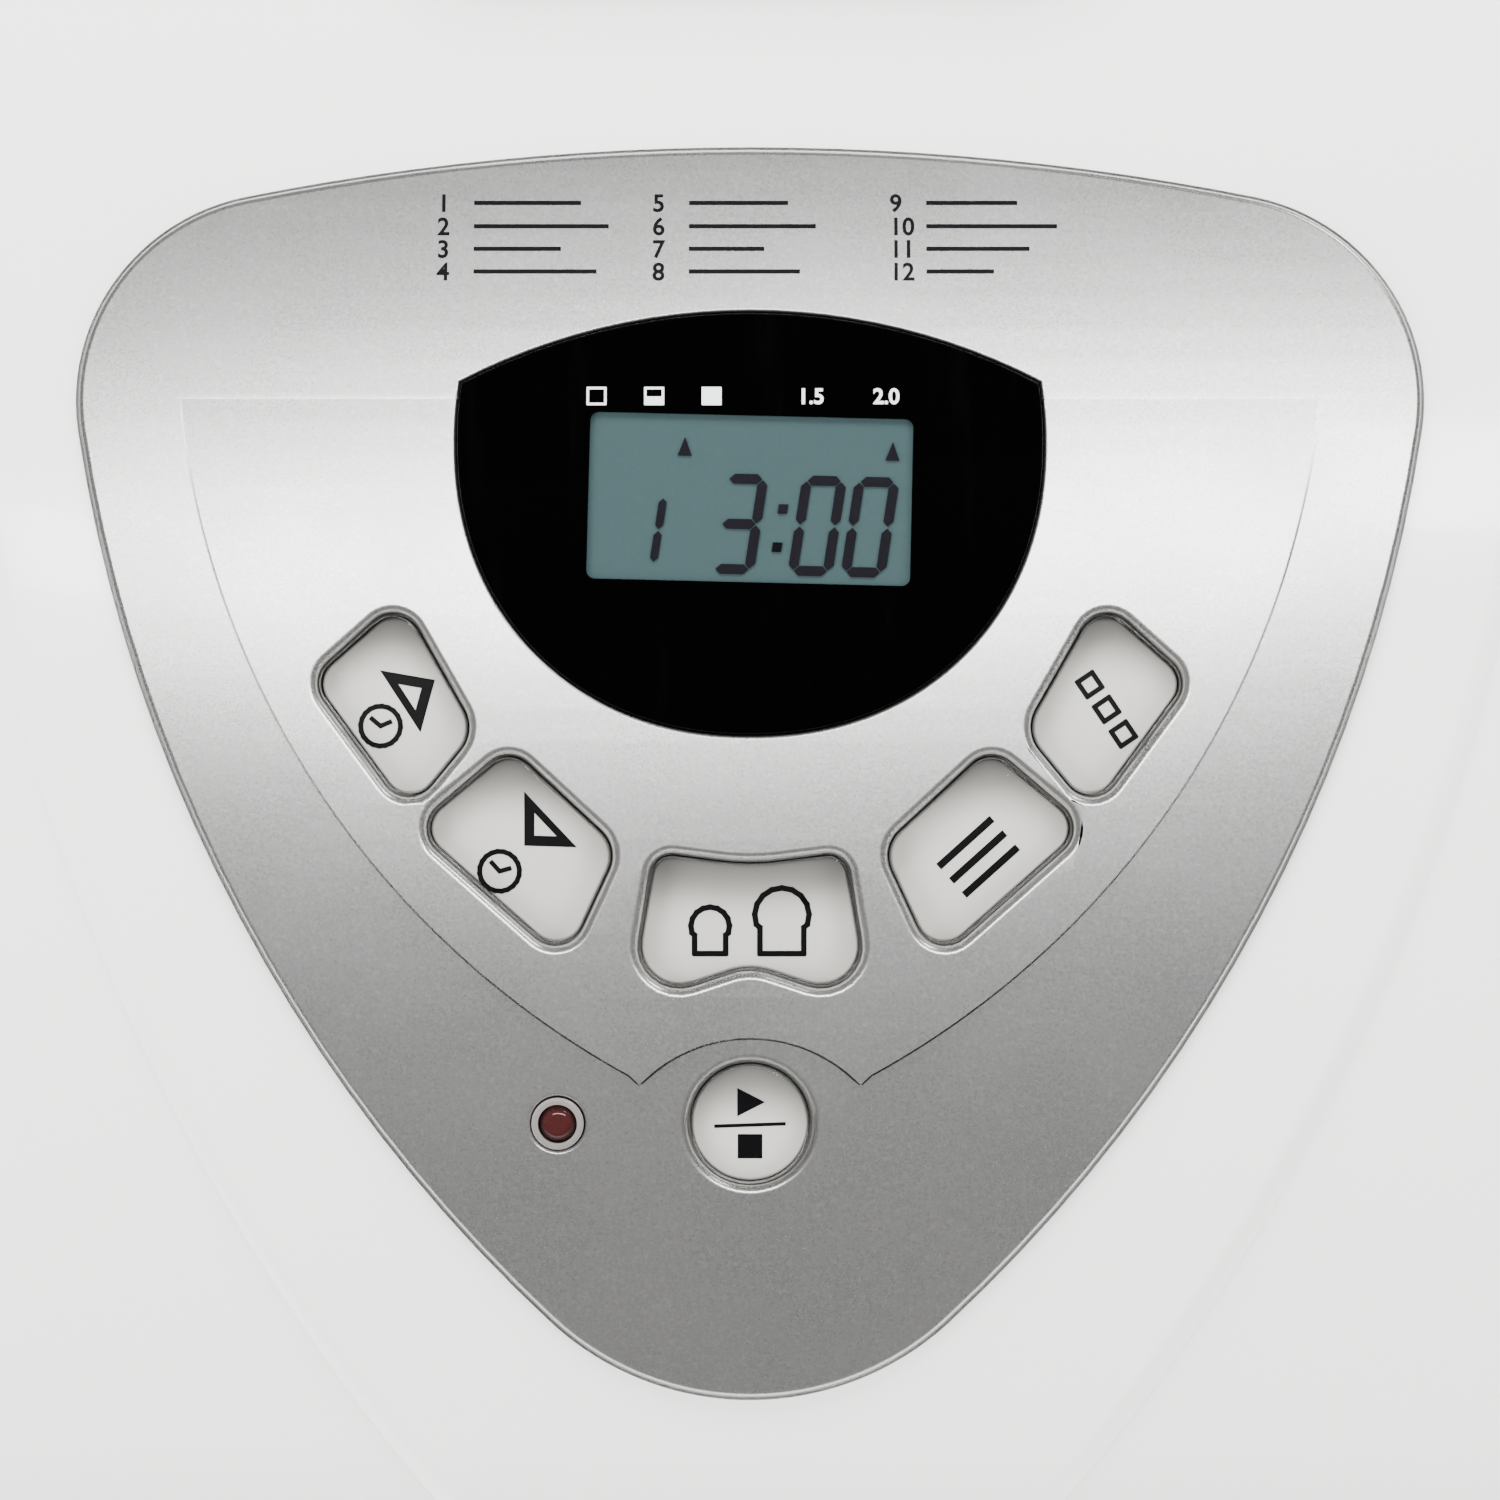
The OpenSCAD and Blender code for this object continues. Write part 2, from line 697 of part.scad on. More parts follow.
module shaft_bushes() {
  color("peru") translate([0, chamber_y, housing_z]) for (z = [0, housing_h - bush_h])
    translate([0, 0, z]) difference() {
      cylinder(r = bush_r, h = bush_h);
      translate([0, 0, -1]) cylinder(r = shaft_r + run_gap, h = bush_h + 2);
    }
}

module drive_shaft() {
  low = pulley_z - 3;
  color("silver") translate([0, chamber_y, low]) cylinder(r = shaft_r, h = dog_z + dog_disc - low);
}

module drive_dog() {
  color("dimgray") translate([0, chamber_y, dog_z]) difference() {
    union() {
      cylinder(r = 14, h = dog_disc);
      for (a = [0, 180]) rotate([0, 0, a]) translate([8, -4, 0]) cube([5, 8, dog_disc + lug_h]);
    }
    translate([0, 0, -1]) cylinder(r = shaft_r, h = 20);
  }
}

module pulley(r, bore) {
  difference() {
    union() {
      cylinder(r = r, h = pulley_h, $fn = 96);
      for (z = [-1, pulley_h]) translate([0, 0, z]) cylinder(r = r + 3, h = 1, $fn = 96);
    }
    translate([0, 0, -5]) cylinder(r = bore, h = pulley_h + 10);
    children();
  }
}

module drive_pulley() {
  color("dimgray") translate([0, chamber_y, pulley_z]) pulley(big_pulley_r, shaft_r) {
    for (a = [0 : 60 : 300]) rotate([0, 0, a]) translate([big_pulley_r * 0.55, 0, -5])
      cylinder(r = big_pulley_r * 0.17, h = pulley_h + 10);
  }
}

module motor_pulley() {
  color("gray") translate([0, motor_y, pulley_z]) pulley(small_pulley_r, shaft_r);
}

function belt_line(d) =
  let (gap = chamber_y - motor_y, lean = asin((big_pulley_r - small_pulley_r) / gap))
  concat(arc(big_pulley_r + d, -lean, 180 + lean, [0, chamber_y], 40),
         arc(small_pulley_r + d, 180 + lean, 360 - lean, [0, motor_y], 20));

module drive_belt() {
  color("black") translate([0, 0, pulley_z + (pulley_h - belt_w) / 2]) linear_extrude(belt_w) difference() {
    polygon(belt_line(belt_slack + belt_t));
    polygon(belt_line(belt_slack));
  }
}

module motor_stator() {
  color("silver") translate([0, motor_y, motor_z]) difference() {
    translate([-stator_w / 2, -stator_w / 2, 0]) cube([stator_w, stator_w, stator_h]);
    translate([0, 0, -1]) cylinder(r = rotor_r + 0.6, h = stator_h + 2, $fn = 96);
    for (x = [-1, 1], y = [-1, 1]) translate([x * (stator_w / 2 - 6), y * (stator_w / 2 - 6), -1])
      cylinder(r = 2.2, h = stator_h + 2);
  }
}

cap_t = 4;
module motor_end_caps() {
  color("gray") translate([0, motor_y, 0]) for (z = [motor_z - cap_t, motor_z + stator_h])
    translate([0, 0, z]) difference() {
      translate([-stator_w / 2, -stator_w / 2, 0]) cube([stator_w, stator_w, cap_t]);
      translate([0, 0, -1]) cylinder(r = shaft_r + run_gap, h = cap_t + 2);
    }
}

bracket_t = 3;
module motor_bracket() {
  top = motor_z - cap_t;
  half = stator_w / 2 + 7;
  color("silver") translate([0, motor_y, 0]) difference() {
    union() {
      translate([-half - 6, -half - 6, top - bracket_t]) cube([2 * half + 12, 2 * half + 12, bracket_t]);
      for (x = [-1, 1], y = [-1, 1]) translate([x * half, y * half, tray_top])
        cylinder(r = 5, h = top - bracket_t - tray_top + eps);
    }
    cylinder(r = 14, h = 100);
  }
}

module motor_rotor() {
  color("silver") translate([0, motor_y, 0]) {
    translate([0, 0, motor_z + 2]) cylinder(r = rotor_r, h = stator_h - 4, $fn = 96);
    translate([0, 0, pulley_z - 3]) cylinder(r = shaft_r, h = motor_z + stator_h + 22 - pulley_z);
  }
}

fan_h = 10;
fan_r = 30;
fan_hub_r = shaft_r + 5;
blade_t = 1.2;
module motor_fan() {
  color("ivory") translate([0, motor_y, motor_z + stator_h + cap_t + 3]) difference() {
    union() {
      cylinder(r = fan_hub_r, h = fan_h);
      cylinder(r = fan_r, h = blade_t);
      for (a = [0 : 40 : 320]) rotate([0, 0, a]) translate([fan_hub_r - 1, -blade_t / 2, 0])
        cube([fan_r - fan_hub_r, blade_t, fan_h]);
    }
    translate([0, 0, -1]) cylinder(r = shaft_r, h = fan_h + 2);
  }
}

capacitor_r = 14;
capacitor_h = 46;
module motor_capacitor() {
  color("silver") translate([stator_w / 2 + capacitor_r + 20, motor_y, tray_top]) {
    cylinder(r = capacitor_r, h = capacitor_h);
    cylinder(r = capacitor_r + 3, h = 4);
  }
}

module power_board() {
  x0 = -body_w / 2 + 20;
  color("darkgreen") translate([x0, motor_y - 50, tray_top]) {
    difference() {
      translate([0, 0, 8]) cube([58, 90, 1.6]);
      for (x = [5, 53], y = [5, 85]) translate([x, y, 0]) cylinder(r = 1.6, h = 20);
    }
    for (x = [5, 53], y = [5, 85]) translate([x, y, 0]) difference() {
      cylinder(r = 3.5, h = 8);
      translate([0, 0, 2]) cylinder(r = 1.4, h = 10);
    }
    translate([8, 14, 9.6]) cube([16, 20, 16]);
    translate([32, 16, 9.6]) cube([16, 12, 14]);
    translate([14, 66, 9.6]) cylinder(r = 6, h = 20);
  }
}

module transformer() {
  color("gray") translate([-body_w / 2 + 20 + 26, motor_y + 2, tray_top + 9.6]) {
    translate([0, -14, 0]) cube([28, 28, 22]);
    translate([4, -17, 3]) cube([20, 34, 16]);
  }
}

// ---- hinge ----

knuckle_x = 80;
knuckle_w = 12;
side_gap = 0.4;

module hinge_brackets() {
  color("white") for (m = [0, 1]) mirror([m, 0, 0]) translate([knuckle_x, hinge_y, hinge_z])
    difference() {
      union() {
        rotate([0, 90, 0]) cylinder(r = knuckle_r, h = knuckle_w);
        translate([0, -hinge_back, -24]) cube([knuckle_w, hinge_back, 24]);
      }
      translate([-1, 0, 0]) rotate([0, 90, 0]) cylinder(r = pin_r, h = knuckle_w + 2);
      translate([-1, -hinge_back - 1, 0]) cube([knuckle_w + 2, 1.4, 20]);
    }
}

module hinge_pins() {
  color("silver") for (m = [0, 1]) mirror([m, 0, 0]) translate([knuckle_x - 2, hinge_y, hinge_z])
    rotate([0, 90, 0]) {
      cylinder(r = pin_r, h = 2 * knuckle_w + side_gap + 2);
      translate([0, 0, 0.5]) cylinder(r = pin_r + 1.2, h = 1.5);
    }
}

// ---- lid ----

lid_front = lid_y + lid_gap;
lid_low = rim_z + lid_gap;
window_y = (lid_y + rear_y) / 2 - 6;

module lid_block(d) {
  intersection() {
    if (d == 0) outer_form(); else inner_form();
    translate([-body_w, lid_front + d, lid_low - (d == 0 ? 0 : 1)]) cube([2 * body_w, body_d, top_z]);
  }
}

window_r = 14;
module window_plane(d = 0) {
  translate([0, window_y]) round_rect(window_w + 2 * d, window_d + 2 * d, window_r + d);
}

module lid_shell() {
  color("white") difference() {
    lid_block(0);
    lid_block(wall);
    translate([0, 0, lid_z - 10]) linear_extrude(80) window_plane(-4);
    intersection() {
      translate([0, 0, lid_z - 10]) linear_extrude(80) window_plane(0.3);
      difference() {
        side_prism(-5);
        side_prism(1.8);
      }
    }
    steam_slots(top_z - 10);
  }
}

// Slots behind the window that let steam out
module steam_slots(z) {
  for (x = [-3 : 3]) translate([16 * x, window_y + window_d / 2 + 16, z])
    cube([11, 3, 40], center = true);
}

// The arms behind the lid that turn on the pins
module lid_knuckles() {
  color("white") for (m = [0, 1]) mirror([m, 0, 0])
    difference() {
      translate([knuckle_x + knuckle_w + side_gap, hinge_y, hinge_z]) {
        rotate([0, 90, 0]) cylinder(r = knuckle_r, h = knuckle_w);
        translate([0, -hinge_back - wall, 0]) cube([knuckle_w, hinge_back + wall, 14]);
      }
      outer_form();
      translate([knuckle_x + knuckle_w - 2, hinge_y, hinge_z])
        rotate([0, 90, 0]) cylinder(r = pin_r + run_gap, h = knuckle_w + 6);
    }
}

module lid_window() {
  color("lightblue") intersection() {
    translate([0, 0, lid_z - 20]) linear_extrude(90) window_plane(0);
    difference() {
      side_prism(0.2);
      side_prism(1.8);
    }
  }
}

liner_t = 1;
module lid_liner() {
  color("silver") difference() {
    translate([0, 0, lid_low]) linear_extrude(liner_t) intersection() {
      inner_plan(1);
      translate([-body_w, lid_front + wall + 0.5]) square([2 * body_w, body_d]);
    }
    translate([0, 0, lid_low - 1]) linear_extrude(10) window_plane(-6);
    steam_slots(lid_low);
  }
}

module inner_window() {
  color("lightblue") translate([0, 0, lid_low + liner_t]) linear_extrude(3) window_plane(0);
}

module lid_seal() {
  color("gray") translate([0, chamber_y, rim_z + 0.15]) linear_extrude(lid_gap - 0.15) difference() {
    round_rect(chamber_w + 8, chamber_d + 8, chamber_r + 4);
    round_rect(chamber_w + 2, chamber_d + 2, chamber_r + 1);
  }
}

grip_w = 84;
grip_d = 18;
module lid_handle() {
  color("white") difference() {
    intersection() {
      translate([0, lid_front + grip_d / 2, lid_z - 20]) linear_extrude(60) round_rect(grip_w, grip_d, 7);
      side_prism(-8);
    }
    side_prism(0);
    translate([-grip_w, lid_front - 1, lid_z - 20]) rotate([lid_slope, 0, 0]) cube([2 * grip_w, 11, 26]);
  }
}

// ---- pan ----

module bread_pan() {
  color("darkgray") translate([0, chamber_y, 0]) difference() {
    union() {
      translate([0, 0, pan_z]) linear_extrude(pan_h) round_rect(pan_w, pan_d, pan_r);
      translate([0, 0, pan_top - 2]) linear_extrude(2) round_rect(pan_w + 4, pan_d + 4, pan_r + 2);
    }
    translate([0, 0, pan_floor]) linear_extrude(pan_h)
      round_rect(pan_w - 2 * pan_t, pan_d - 2 * pan_t, pan_r - pan_t);
    translate([0, 0, pan_z - 1]) cylinder(r = 9, h = 5);
  }
}

module pan_base_ring() {
  r = seat_r - 3 - 0.6;
  color("silver") translate([0, chamber_y, pan_z]) difference() {
    translate([0, 0, -13]) cylinder(r = r, h = 13, $fn = 96);
    translate([0, 0, -14]) cylinder(r = r - 3, h = 15, $fn = 96);
  }
}

module pan_bush() {
  color("peru") translate([0, chamber_y, coupler_z + coupler_disc + 0.4]) difference() {
    union() {
      cylinder(r = 9, h = bush_top - coupler_z - coupler_disc - 0.4);
      translate([0, 0, pan_floor - coupler_z - coupler_disc - 0.4]) cylinder(r = 13, h = 2);
      translate([0, 0, pan_z - 2 - coupler_z - coupler_disc - 0.4]) cylinder(r = 13, h = 2);
    }
    translate([0, 0, -1]) cylinder(r = shaft_r + run_gap, h = 40);
  }
}

module pan_ears() {
  color("silver") for (m = [0, 1]) mirror([m, 0, 0]) translate([pan_w / 2, chamber_y, bail_z]) {
    translate([0, -7, -14]) cube([1.5, 14, 17]);
    rotate([0, 90, 0]) cylinder(r = 2, h = bail_x - pan_w / 2 + bail_r + 1.5);
    translate([bail_x - pan_w / 2 + bail_r + 0.3, 0, 0]) rotate([0, 90, 0]) cylinder(r = 3.5, h = 1.2);
  }
}

bail_bend = 16;
module pan_handle() {
  color("silver") translate([0, chamber_y, bail_z]) difference() {
    union() {
      for (m = [0, 1]) mirror([m, 0, 0]) {
        translate([bail_x, bail_bend - bail_arm, 0]) rotate([-90, 0, 0])
          cylinder(r = bail_r, h = bail_arm - bail_bend - 3);
        translate([bail_x - bail_bend, bail_bend - bail_arm, 0]) rotate([0, 0, -90])
          rotate_extrude(angle = 90) translate([bail_bend, 0]) circle(r = bail_r, $fn = 32);
        translate([bail_x, 0, 0]) rotate([0, 90, 0]) cylinder(r = 5, h = 2 * bail_r + 0.4, center = true);
      }
      translate([bail_bend - bail_x, -bail_arm, 0]) rotate([0, 90, 0])
        cylinder(r = bail_r, h = 2 * bail_x - 2 * bail_bend);
    }
    for (m = [0, 1]) mirror([m, 0, 0]) translate([bail_x - 10, 0, 0]) rotate([0, 90, 0])
      cylinder(r = 2.08, h = 20);
  }
}

module pan_shaft() {
  color("silver") translate([0, chamber_y, coupler_z]) cylinder(r = shaft_r, h = bush_top + 14 - coupler_z);
}

module pan_coupler() {
  color("dimgray") translate([0, chamber_y, coupler_z]) difference() {
    union() {
      cylinder(r = 14, h = coupler_disc);
      for (a = [90, 270]) rotate([0, 0, a]) translate([8, -4, -lug_h]) cube([5, 8, lug_h + 1]);
    }
    translate([0, 0, -10]) cylinder(r = shaft_r, h = 30);
  }
}

paddle_reach = 42;
module kneading_paddle() {
  color("dimgray") translate([0, chamber_y, bush_top + 0.5]) difference() {
    union() {
      cylinder(r = 9.5, h = 13);
      intersection() {
        translate([0, -2, 0]) cube([paddle_reach, 4, 26]);
        translate([paddle_reach - 30, 20, -4]) rotate([90, 0, 0]) cylinder(r = 30, h = 40, $fn = 96);
      }
    }
    translate([0, 0, -1]) cylinder(r = shaft_r, h = 15);
  }
}

body_shell();
rim_frame();
rear_cover();
base_tray();
foot(-1, 0);  // foot_front_left
foot(1, 0);  // foot_front_right
foot(-1, 1);  // foot_rear_left
foot(1, 1);  // foot_rear_right
base_screws();
control_bezel();
display_lens();
lcd_module();
indicator_ring();
indicator_led();
control_board();
tact_switches();
board_screws();
oven_chamber();
heating_element();
element_clips();
element_bushes();
temperature_sensor();
thermal_fuse();
pan_seat();
bearing_housing();
shaft_bushes();
drive_belt();
motor_stator();
motor_end_caps();
motor_bracket();
motor_capacitor();
power_board();
transformer();
cord_gland();
hinge_brackets();
hinge_pins();
lid_shell();
lid_knuckles();
lid_liner();
lid_window();
inner_window();
lid_seal();
lid_handle();
time_up_button();
time_down_button();
crust_button();
menu_button();
loaf_size_button();
start_stop_button();
bread_pan();
pan_base_ring();
pan_bush();
pan_ears();
pan_handle();
pan_shaft();
pan_coupler();
kneading_paddle();
drive_shaft();
drive_dog();
drive_pulley();
motor_rotor();
motor_pulley();
motor_fan();
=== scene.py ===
import json
import math

import bmesh
import bpy
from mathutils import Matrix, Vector


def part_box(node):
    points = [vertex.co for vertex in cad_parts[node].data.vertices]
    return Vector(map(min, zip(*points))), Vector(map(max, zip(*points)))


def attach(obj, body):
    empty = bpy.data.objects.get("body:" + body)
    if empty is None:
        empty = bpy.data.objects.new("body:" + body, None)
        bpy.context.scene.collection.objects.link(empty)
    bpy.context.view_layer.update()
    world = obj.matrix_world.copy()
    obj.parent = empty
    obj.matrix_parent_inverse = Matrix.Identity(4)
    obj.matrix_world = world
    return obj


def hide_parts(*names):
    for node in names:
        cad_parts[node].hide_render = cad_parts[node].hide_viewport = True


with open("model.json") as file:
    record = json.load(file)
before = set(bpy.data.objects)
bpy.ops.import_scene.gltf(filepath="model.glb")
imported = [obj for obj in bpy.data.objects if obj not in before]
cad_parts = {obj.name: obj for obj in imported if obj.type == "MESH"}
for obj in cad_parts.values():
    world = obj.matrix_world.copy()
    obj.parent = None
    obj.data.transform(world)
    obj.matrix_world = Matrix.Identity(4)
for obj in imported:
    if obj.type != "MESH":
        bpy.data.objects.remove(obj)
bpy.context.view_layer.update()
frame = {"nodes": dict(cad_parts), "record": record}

bl_info = {
    "name": "Bread Machine",
    "version": (1, 0, 0),
    "blender": (4, 5, 0),
    "location": "View3D > Sidebar > Bread Machine",
    "description": "Builds the shells, control panel, finishes and stage of a bread machine",
    "category": "Object",
}

MM = 0.001

# Places that the CAD model sets, in millimetres
BODY_LOW, BODY_HIGH = [[v / MM for v in corner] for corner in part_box("body_shell")]
CHAMBER_LOW, CHAMBER_HIGH = [[v / MM for v in corner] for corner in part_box("oven_chamber")]
WINDOW_LOW, WINDOW_HIGH = [[v / MM for v in corner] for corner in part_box("inner_window")]
SEAM_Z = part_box("lid_liner")[0][2] / MM - 0.6
HINGE = [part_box("hinge_pins")[0][i] / MM / 2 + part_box("hinge_pins")[1][i] / MM / 2 for i in range(3)]


# ---- settings ----

def length(name, description, default):
    """A length, written here in millimetres and kept in metres."""
    return bpy.props.FloatProperty(
        name=name, description=description, default=default * MM, precision=5,
        subtype="DISTANCE", unit="LENGTH")


def slope(name, description, default):
    """An angle from the level, written here in degrees and kept in radians."""
    return bpy.props.FloatProperty(
        name=name, description=description, default=math.radians(default), subtype="ANGLE", unit="ROTATION")


def power(name, description, default):
    """The power of a light in watts."""
    return bpy.props.FloatProperty(
        name=name, description=description, default=default, min=0, subtype="POWER", unit="POWER")


def colour(name, description, default):
    """A linear colour."""
    return bpy.props.FloatVectorProperty(
        name=name, description=description, default=default, subtype="COLOR", size=3, min=0, max=1)


class Sizes:
    """What a property group holds, with lengths in millimetres and angles in degrees."""

    def __init__(self, group):
        for name in type(group).__annotations__:
            value, subtype = getattr(group, name), group.bl_rna.properties[name].subtype
            if subtype == "DISTANCE":
                value = round(value / MM, 4)
            elif subtype == "ANGLE":
                value = round(math.degrees(value), 4)
            setattr(self, name, value)


class BREAD_PG_form(bpy.types.PropertyGroup):
    """Sizes of the body's outer form."""
    front_height: length("Front height", "Height of the front wall below its roll", 109.0)
    roll_radius: length("Roll radius", "Roll from the front wall into the deck", 45.0)
    deck_radius: length("Deck radius", "Curve of the deck that carries the panel", 520.0)
    rear_radius: length("Rear radius", "Fold from the lid's top into the rear wall", 40.0)
    edge_radius: length("Edge radius", "Rounding of the two sides", 36.0)
    wall: length("Wall", "Thickness of the shells", 3.0)
    foot_slope: slope("Foot slope", "Slope at the deck's foot", 48.0)
    panel_slope: slope("Panel slope", "Slope at the panel", 38.5)
    lid_slope: slope("Lid slope", "Slope where the lid starts", 27.0)
    field_height: length("Field height", "How far the centre field stands up", 1.2)
    field_edge: length("Field edge", "Width of the centre field's sloping edge", 3.2)


class BREAD_PG_panel(bpy.types.PropertyGroup):
    """Sizes of the control panel."""
    half_length: length("Half length", "Half the panel's length down the slope", 79.0)
    proud: length("Proud", "How far the panel stands above the deck", 1.0)
    thickness: length("Thickness", "Thickness of the panel", 2.5)
    seat_gap: length("Seat gap", "Gap around the panel", 0.4)
    moat: length("Moat", "Gap between a button and the panel", 0.3)
    rim: length("Rim", "Rounding of the moats' rims", 1.1)
    edge: length("Edge", "Rounding of the panel's outer edge", 0.8)
    groove: length("Groove", "Width of the groove along the raised field", 0.32)
    insert: length("Insert", "Height of the printed insert in each button", -1.2)
    cap_height: length("Cap height", "Height of the button caps above the deck", 2.1)
    start_radius: length("Start radius", "Radius of the start button", 7.5)


class BREAD_PG_colours(bpy.types.PropertyGroup):
    """Colours of the outer pieces."""
    white: colour("White", "Body plastic", (0.86, 0.85, 0.835))
    silver: colour("Silver", "Panel paint", (0.60, 0.593, 0.585))
    lens: colour("Lens", "Display lens", (0.0004, 0.0004, 0.00045))
    lcd: colour("Display", "Ground of the display", (0.036, 0.059, 0.064))
    cap: colour("Button cap", "Print under the clear caps", (0.56, 0.55, 0.52))
    ink: colour("Ink", "Dark print", (0.003, 0.003, 0.0035))


class BREAD_PG_stage(bpy.types.PropertyGroup):
    """Camera and light."""
    view_width: length("View width", "Width of deck that the camera sees", 187.5)
    lens: length("Lens", "Focal length of the camera", 85.0)
    key: power("Key light", "Power of the upper light", 75.0)
    glint: power("Glint", "Power of the small light seen in the gloss", 4.0)
    front: power("Front light", "Power of the light that faces the panel", 8.4)
    side: power("Side lights", "Power of the two side lights", 32.0)
    fill: bpy.props.FloatProperty(
        name="Fill light", description="Strength of the surrounding light", default=0.24, min=0,
        subtype="FACTOR")


# ---- modelling helpers ----

def only(obj):
    """Leaves one object selected and active."""
    if bpy.context.object and bpy.context.object.mode != "OBJECT":
        bpy.ops.object.mode_set(mode="OBJECT")
    bpy.ops.object.select_all(action="DESELECT")
    if obj:
        obj.select_set(True)
        bpy.context.view_layer.objects.active = obj


class Edit:
    """Edit mode on one object, with all of it selected."""

    def __init__(self, obj, kind="FACE"):
        self.obj, self.kind = obj, kind

    def __enter__(self):
        only(self.obj)
        bpy.ops.object.mode_set(mode="EDIT")
        bpy.ops.mesh.select_mode(type=self.kind)
        bpy.ops.mesh.select_all(action="SELECT")
        return self

    def __exit__(self, *error):
        bpy.ops.object.mode_set(mode="OBJECT")

    def pick(self, kind, test):
        """Selects the edges or faces that pass a test."""
        bpy.ops.mesh.select_all(action="DESELECT")
        mesh = bmesh.from_edit_mesh(self.obj.data)
        for item in getattr(mesh, kind):
            if test(item):
                item.select_set(True)
        bmesh.update_edit_mesh(self.obj.data)


def take(name):
    """Names the primitive that was just added."""
    obj = bpy.context.object
    obj.name = obj.data.name = name
    return obj


def sheet(name, points):
    """A flat face through points in millimetres."""
    only(None)
    bpy.ops.mesh.primitive_circle_add(vertices=len(points), radius=1, fill_type="NGON")
    obj = take(name)
    for vertex, point in zip(obj.data.vertices, points):
        vertex.co = Vector(point) * MM
    return obj


def extrude(obj, x, y, z):
    """Raises a flat face into a closed block."""
    with Edit(obj):
        bpy.ops.mesh.extrude_region_move(TRANSFORM_OT_translate={"value": (x * MM, y * MM, z * MM)})
        bpy.ops.mesh.select_all(action="SELECT")
        bpy.ops.mesh.normals_make_consistent(inside=False)
    return obj


def flat_block(name, outline, low, high):
    """An outline in the panel's plane raised between two heights."""
    return extrude(sheet(name, [(x, y, low) for x, y in outline]), 0, 0, high - low)


def copy(obj, name):
    """A copy with its own mesh."""
    twin = obj.copy()
    twin.data = obj.data.copy()
    twin.name = twin.data.name = name
    bpy.context.collection.objects.link(twin)
    return twin


def combine(obj, tool, operation="DIFFERENCE"):
    """Cuts, joins or keeps what two solids share, and removes the second."""
    only(obj)
    step = obj.modifiers.new("combine", "BOOLEAN")
    step.operation, step.object, step.solver = operation, tool, "EXACT"
    bpy.ops.object.modifier_apply(modifier=step.name)
    bpy.data.objects.remove(tool)
    return obj


def trim(obj, point, normal):
    """Removes what lies on the normal's side of a plane, and closes the cut."""
    with Edit(obj):
        bpy.ops.mesh.bisect(plane_co=[v * MM for v in point], plane_no=normal, use_fill=True, clear_outer=True)
    return obj


def bevel(obj, width, segments, test):
    """Rounds the edges that pass a test."""
    with Edit(obj, "EDGE") as edit:
        edit.pick("edges", test)
        bpy.ops.mesh.bevel(offset=width * MM, offset_type="OFFSET", segments=segments, profile=0.5,
                           affect="EDGES", clamp_overlap=False)
    return obj


def rim_test(low=-1e9, high=1e9):
    """A test for edges between a level face and an upright one, between two heights."""
    def test(edge):
        if len(edge.link_faces) != 2 or not edge.is_convex:
            return False
        slopes = sorted(abs(face.normal.z) for face in edge.link_faces)
        heights = [v.co.z / MM for v in edge.verts]
        return slopes[0] < 0.2 and slopes[1] > 0.9 and min(heights) > low and max(heights) < high
    return test


def off_line(x, y, line):
    """Distance from a point to a closed outline."""
    best = 1e9
    for (x0, y0), (x1, y1) in zip(line, line[1:] + line[:1]):
        dx, dy = x1 - x0, y1 - y0
        share = ((x - x0) * dx + (y - y0) * dy) / max(dx * dx + dy * dy, 1e-12)
        share = min(max(share, 0.0), 1.0)
        best = min(best, math.hypot(x - x0 - share * dx, y - y0 - share * dy))
    return best


def along(outlines, test):
    """A test for edges that pass another one and lie on an outline."""
    def on_line(edge):
        ends = [(v.co.x / MM, v.co.y / MM) for v in edge.verts]
        return test(edge) and any(all(off_line(*end, line) < 0.05 for end in ends) for line in outlines)
    return on_line


def store(obj, name, value):
    """Keeps a number on each point of a mesh, for its material."""
    layer = obj.data.attributes.new(name, "FLOAT", "POINT")
    for vertex in obj.data.vertices:
        layer.data[vertex.index].value = value(vertex)


def top_of(obj, up):
    """How far a piece reaches in a direction, in millimetres."""
    return max(up.dot(vertex.co) for vertex in obj.data.vertices) / MM


def weigh(obj, angle=35):
    """Smooth shading that keeps broad faces flat."""
    only(obj)
    bpy.ops.object.shade_smooth_by_angle(angle=math.radians(angle))
    step = obj.modifiers.new("weigh", "WEIGHTED_NORMAL")
    step.keep_sharp = True
    bpy.ops.object.modifier_apply(modifier=step.name)
    return obj


def join(name, pieces):
    """Joins pieces into one object."""
    only(pieces[0])
    for piece in pieces:
        piece.select_set(True)
    if len(pieces) > 1:
        bpy.ops.object.join()
    return take(name)


def finish_piece(obj, body, slot, material, *nodes):
    """Gives a piece its material and body, and hides the nodes that it stands for. The slot is not used."""
    obj.data.materials.clear()
    obj.data.materials.append(material)
    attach(obj, body)
    if nodes:
        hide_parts(*nodes)
    return obj


# ---- outlines ----

def arc(radius, start, end, centre=(0, 0), steps=16):
    """Points of an arc between two angles in degrees."""
    turns = [math.radians(start + (end - start) * i / steps) for i in range(steps + 1)]
    return [(centre[0] + radius * math.cos(t), centre[1] + radius * math.sin(t)) for t in turns]


def mirrored(points):
    return [(-x, y) for x, y in reversed(points)]


def angle_of(x, y):
    return math.degrees(math.atan2(y, x))


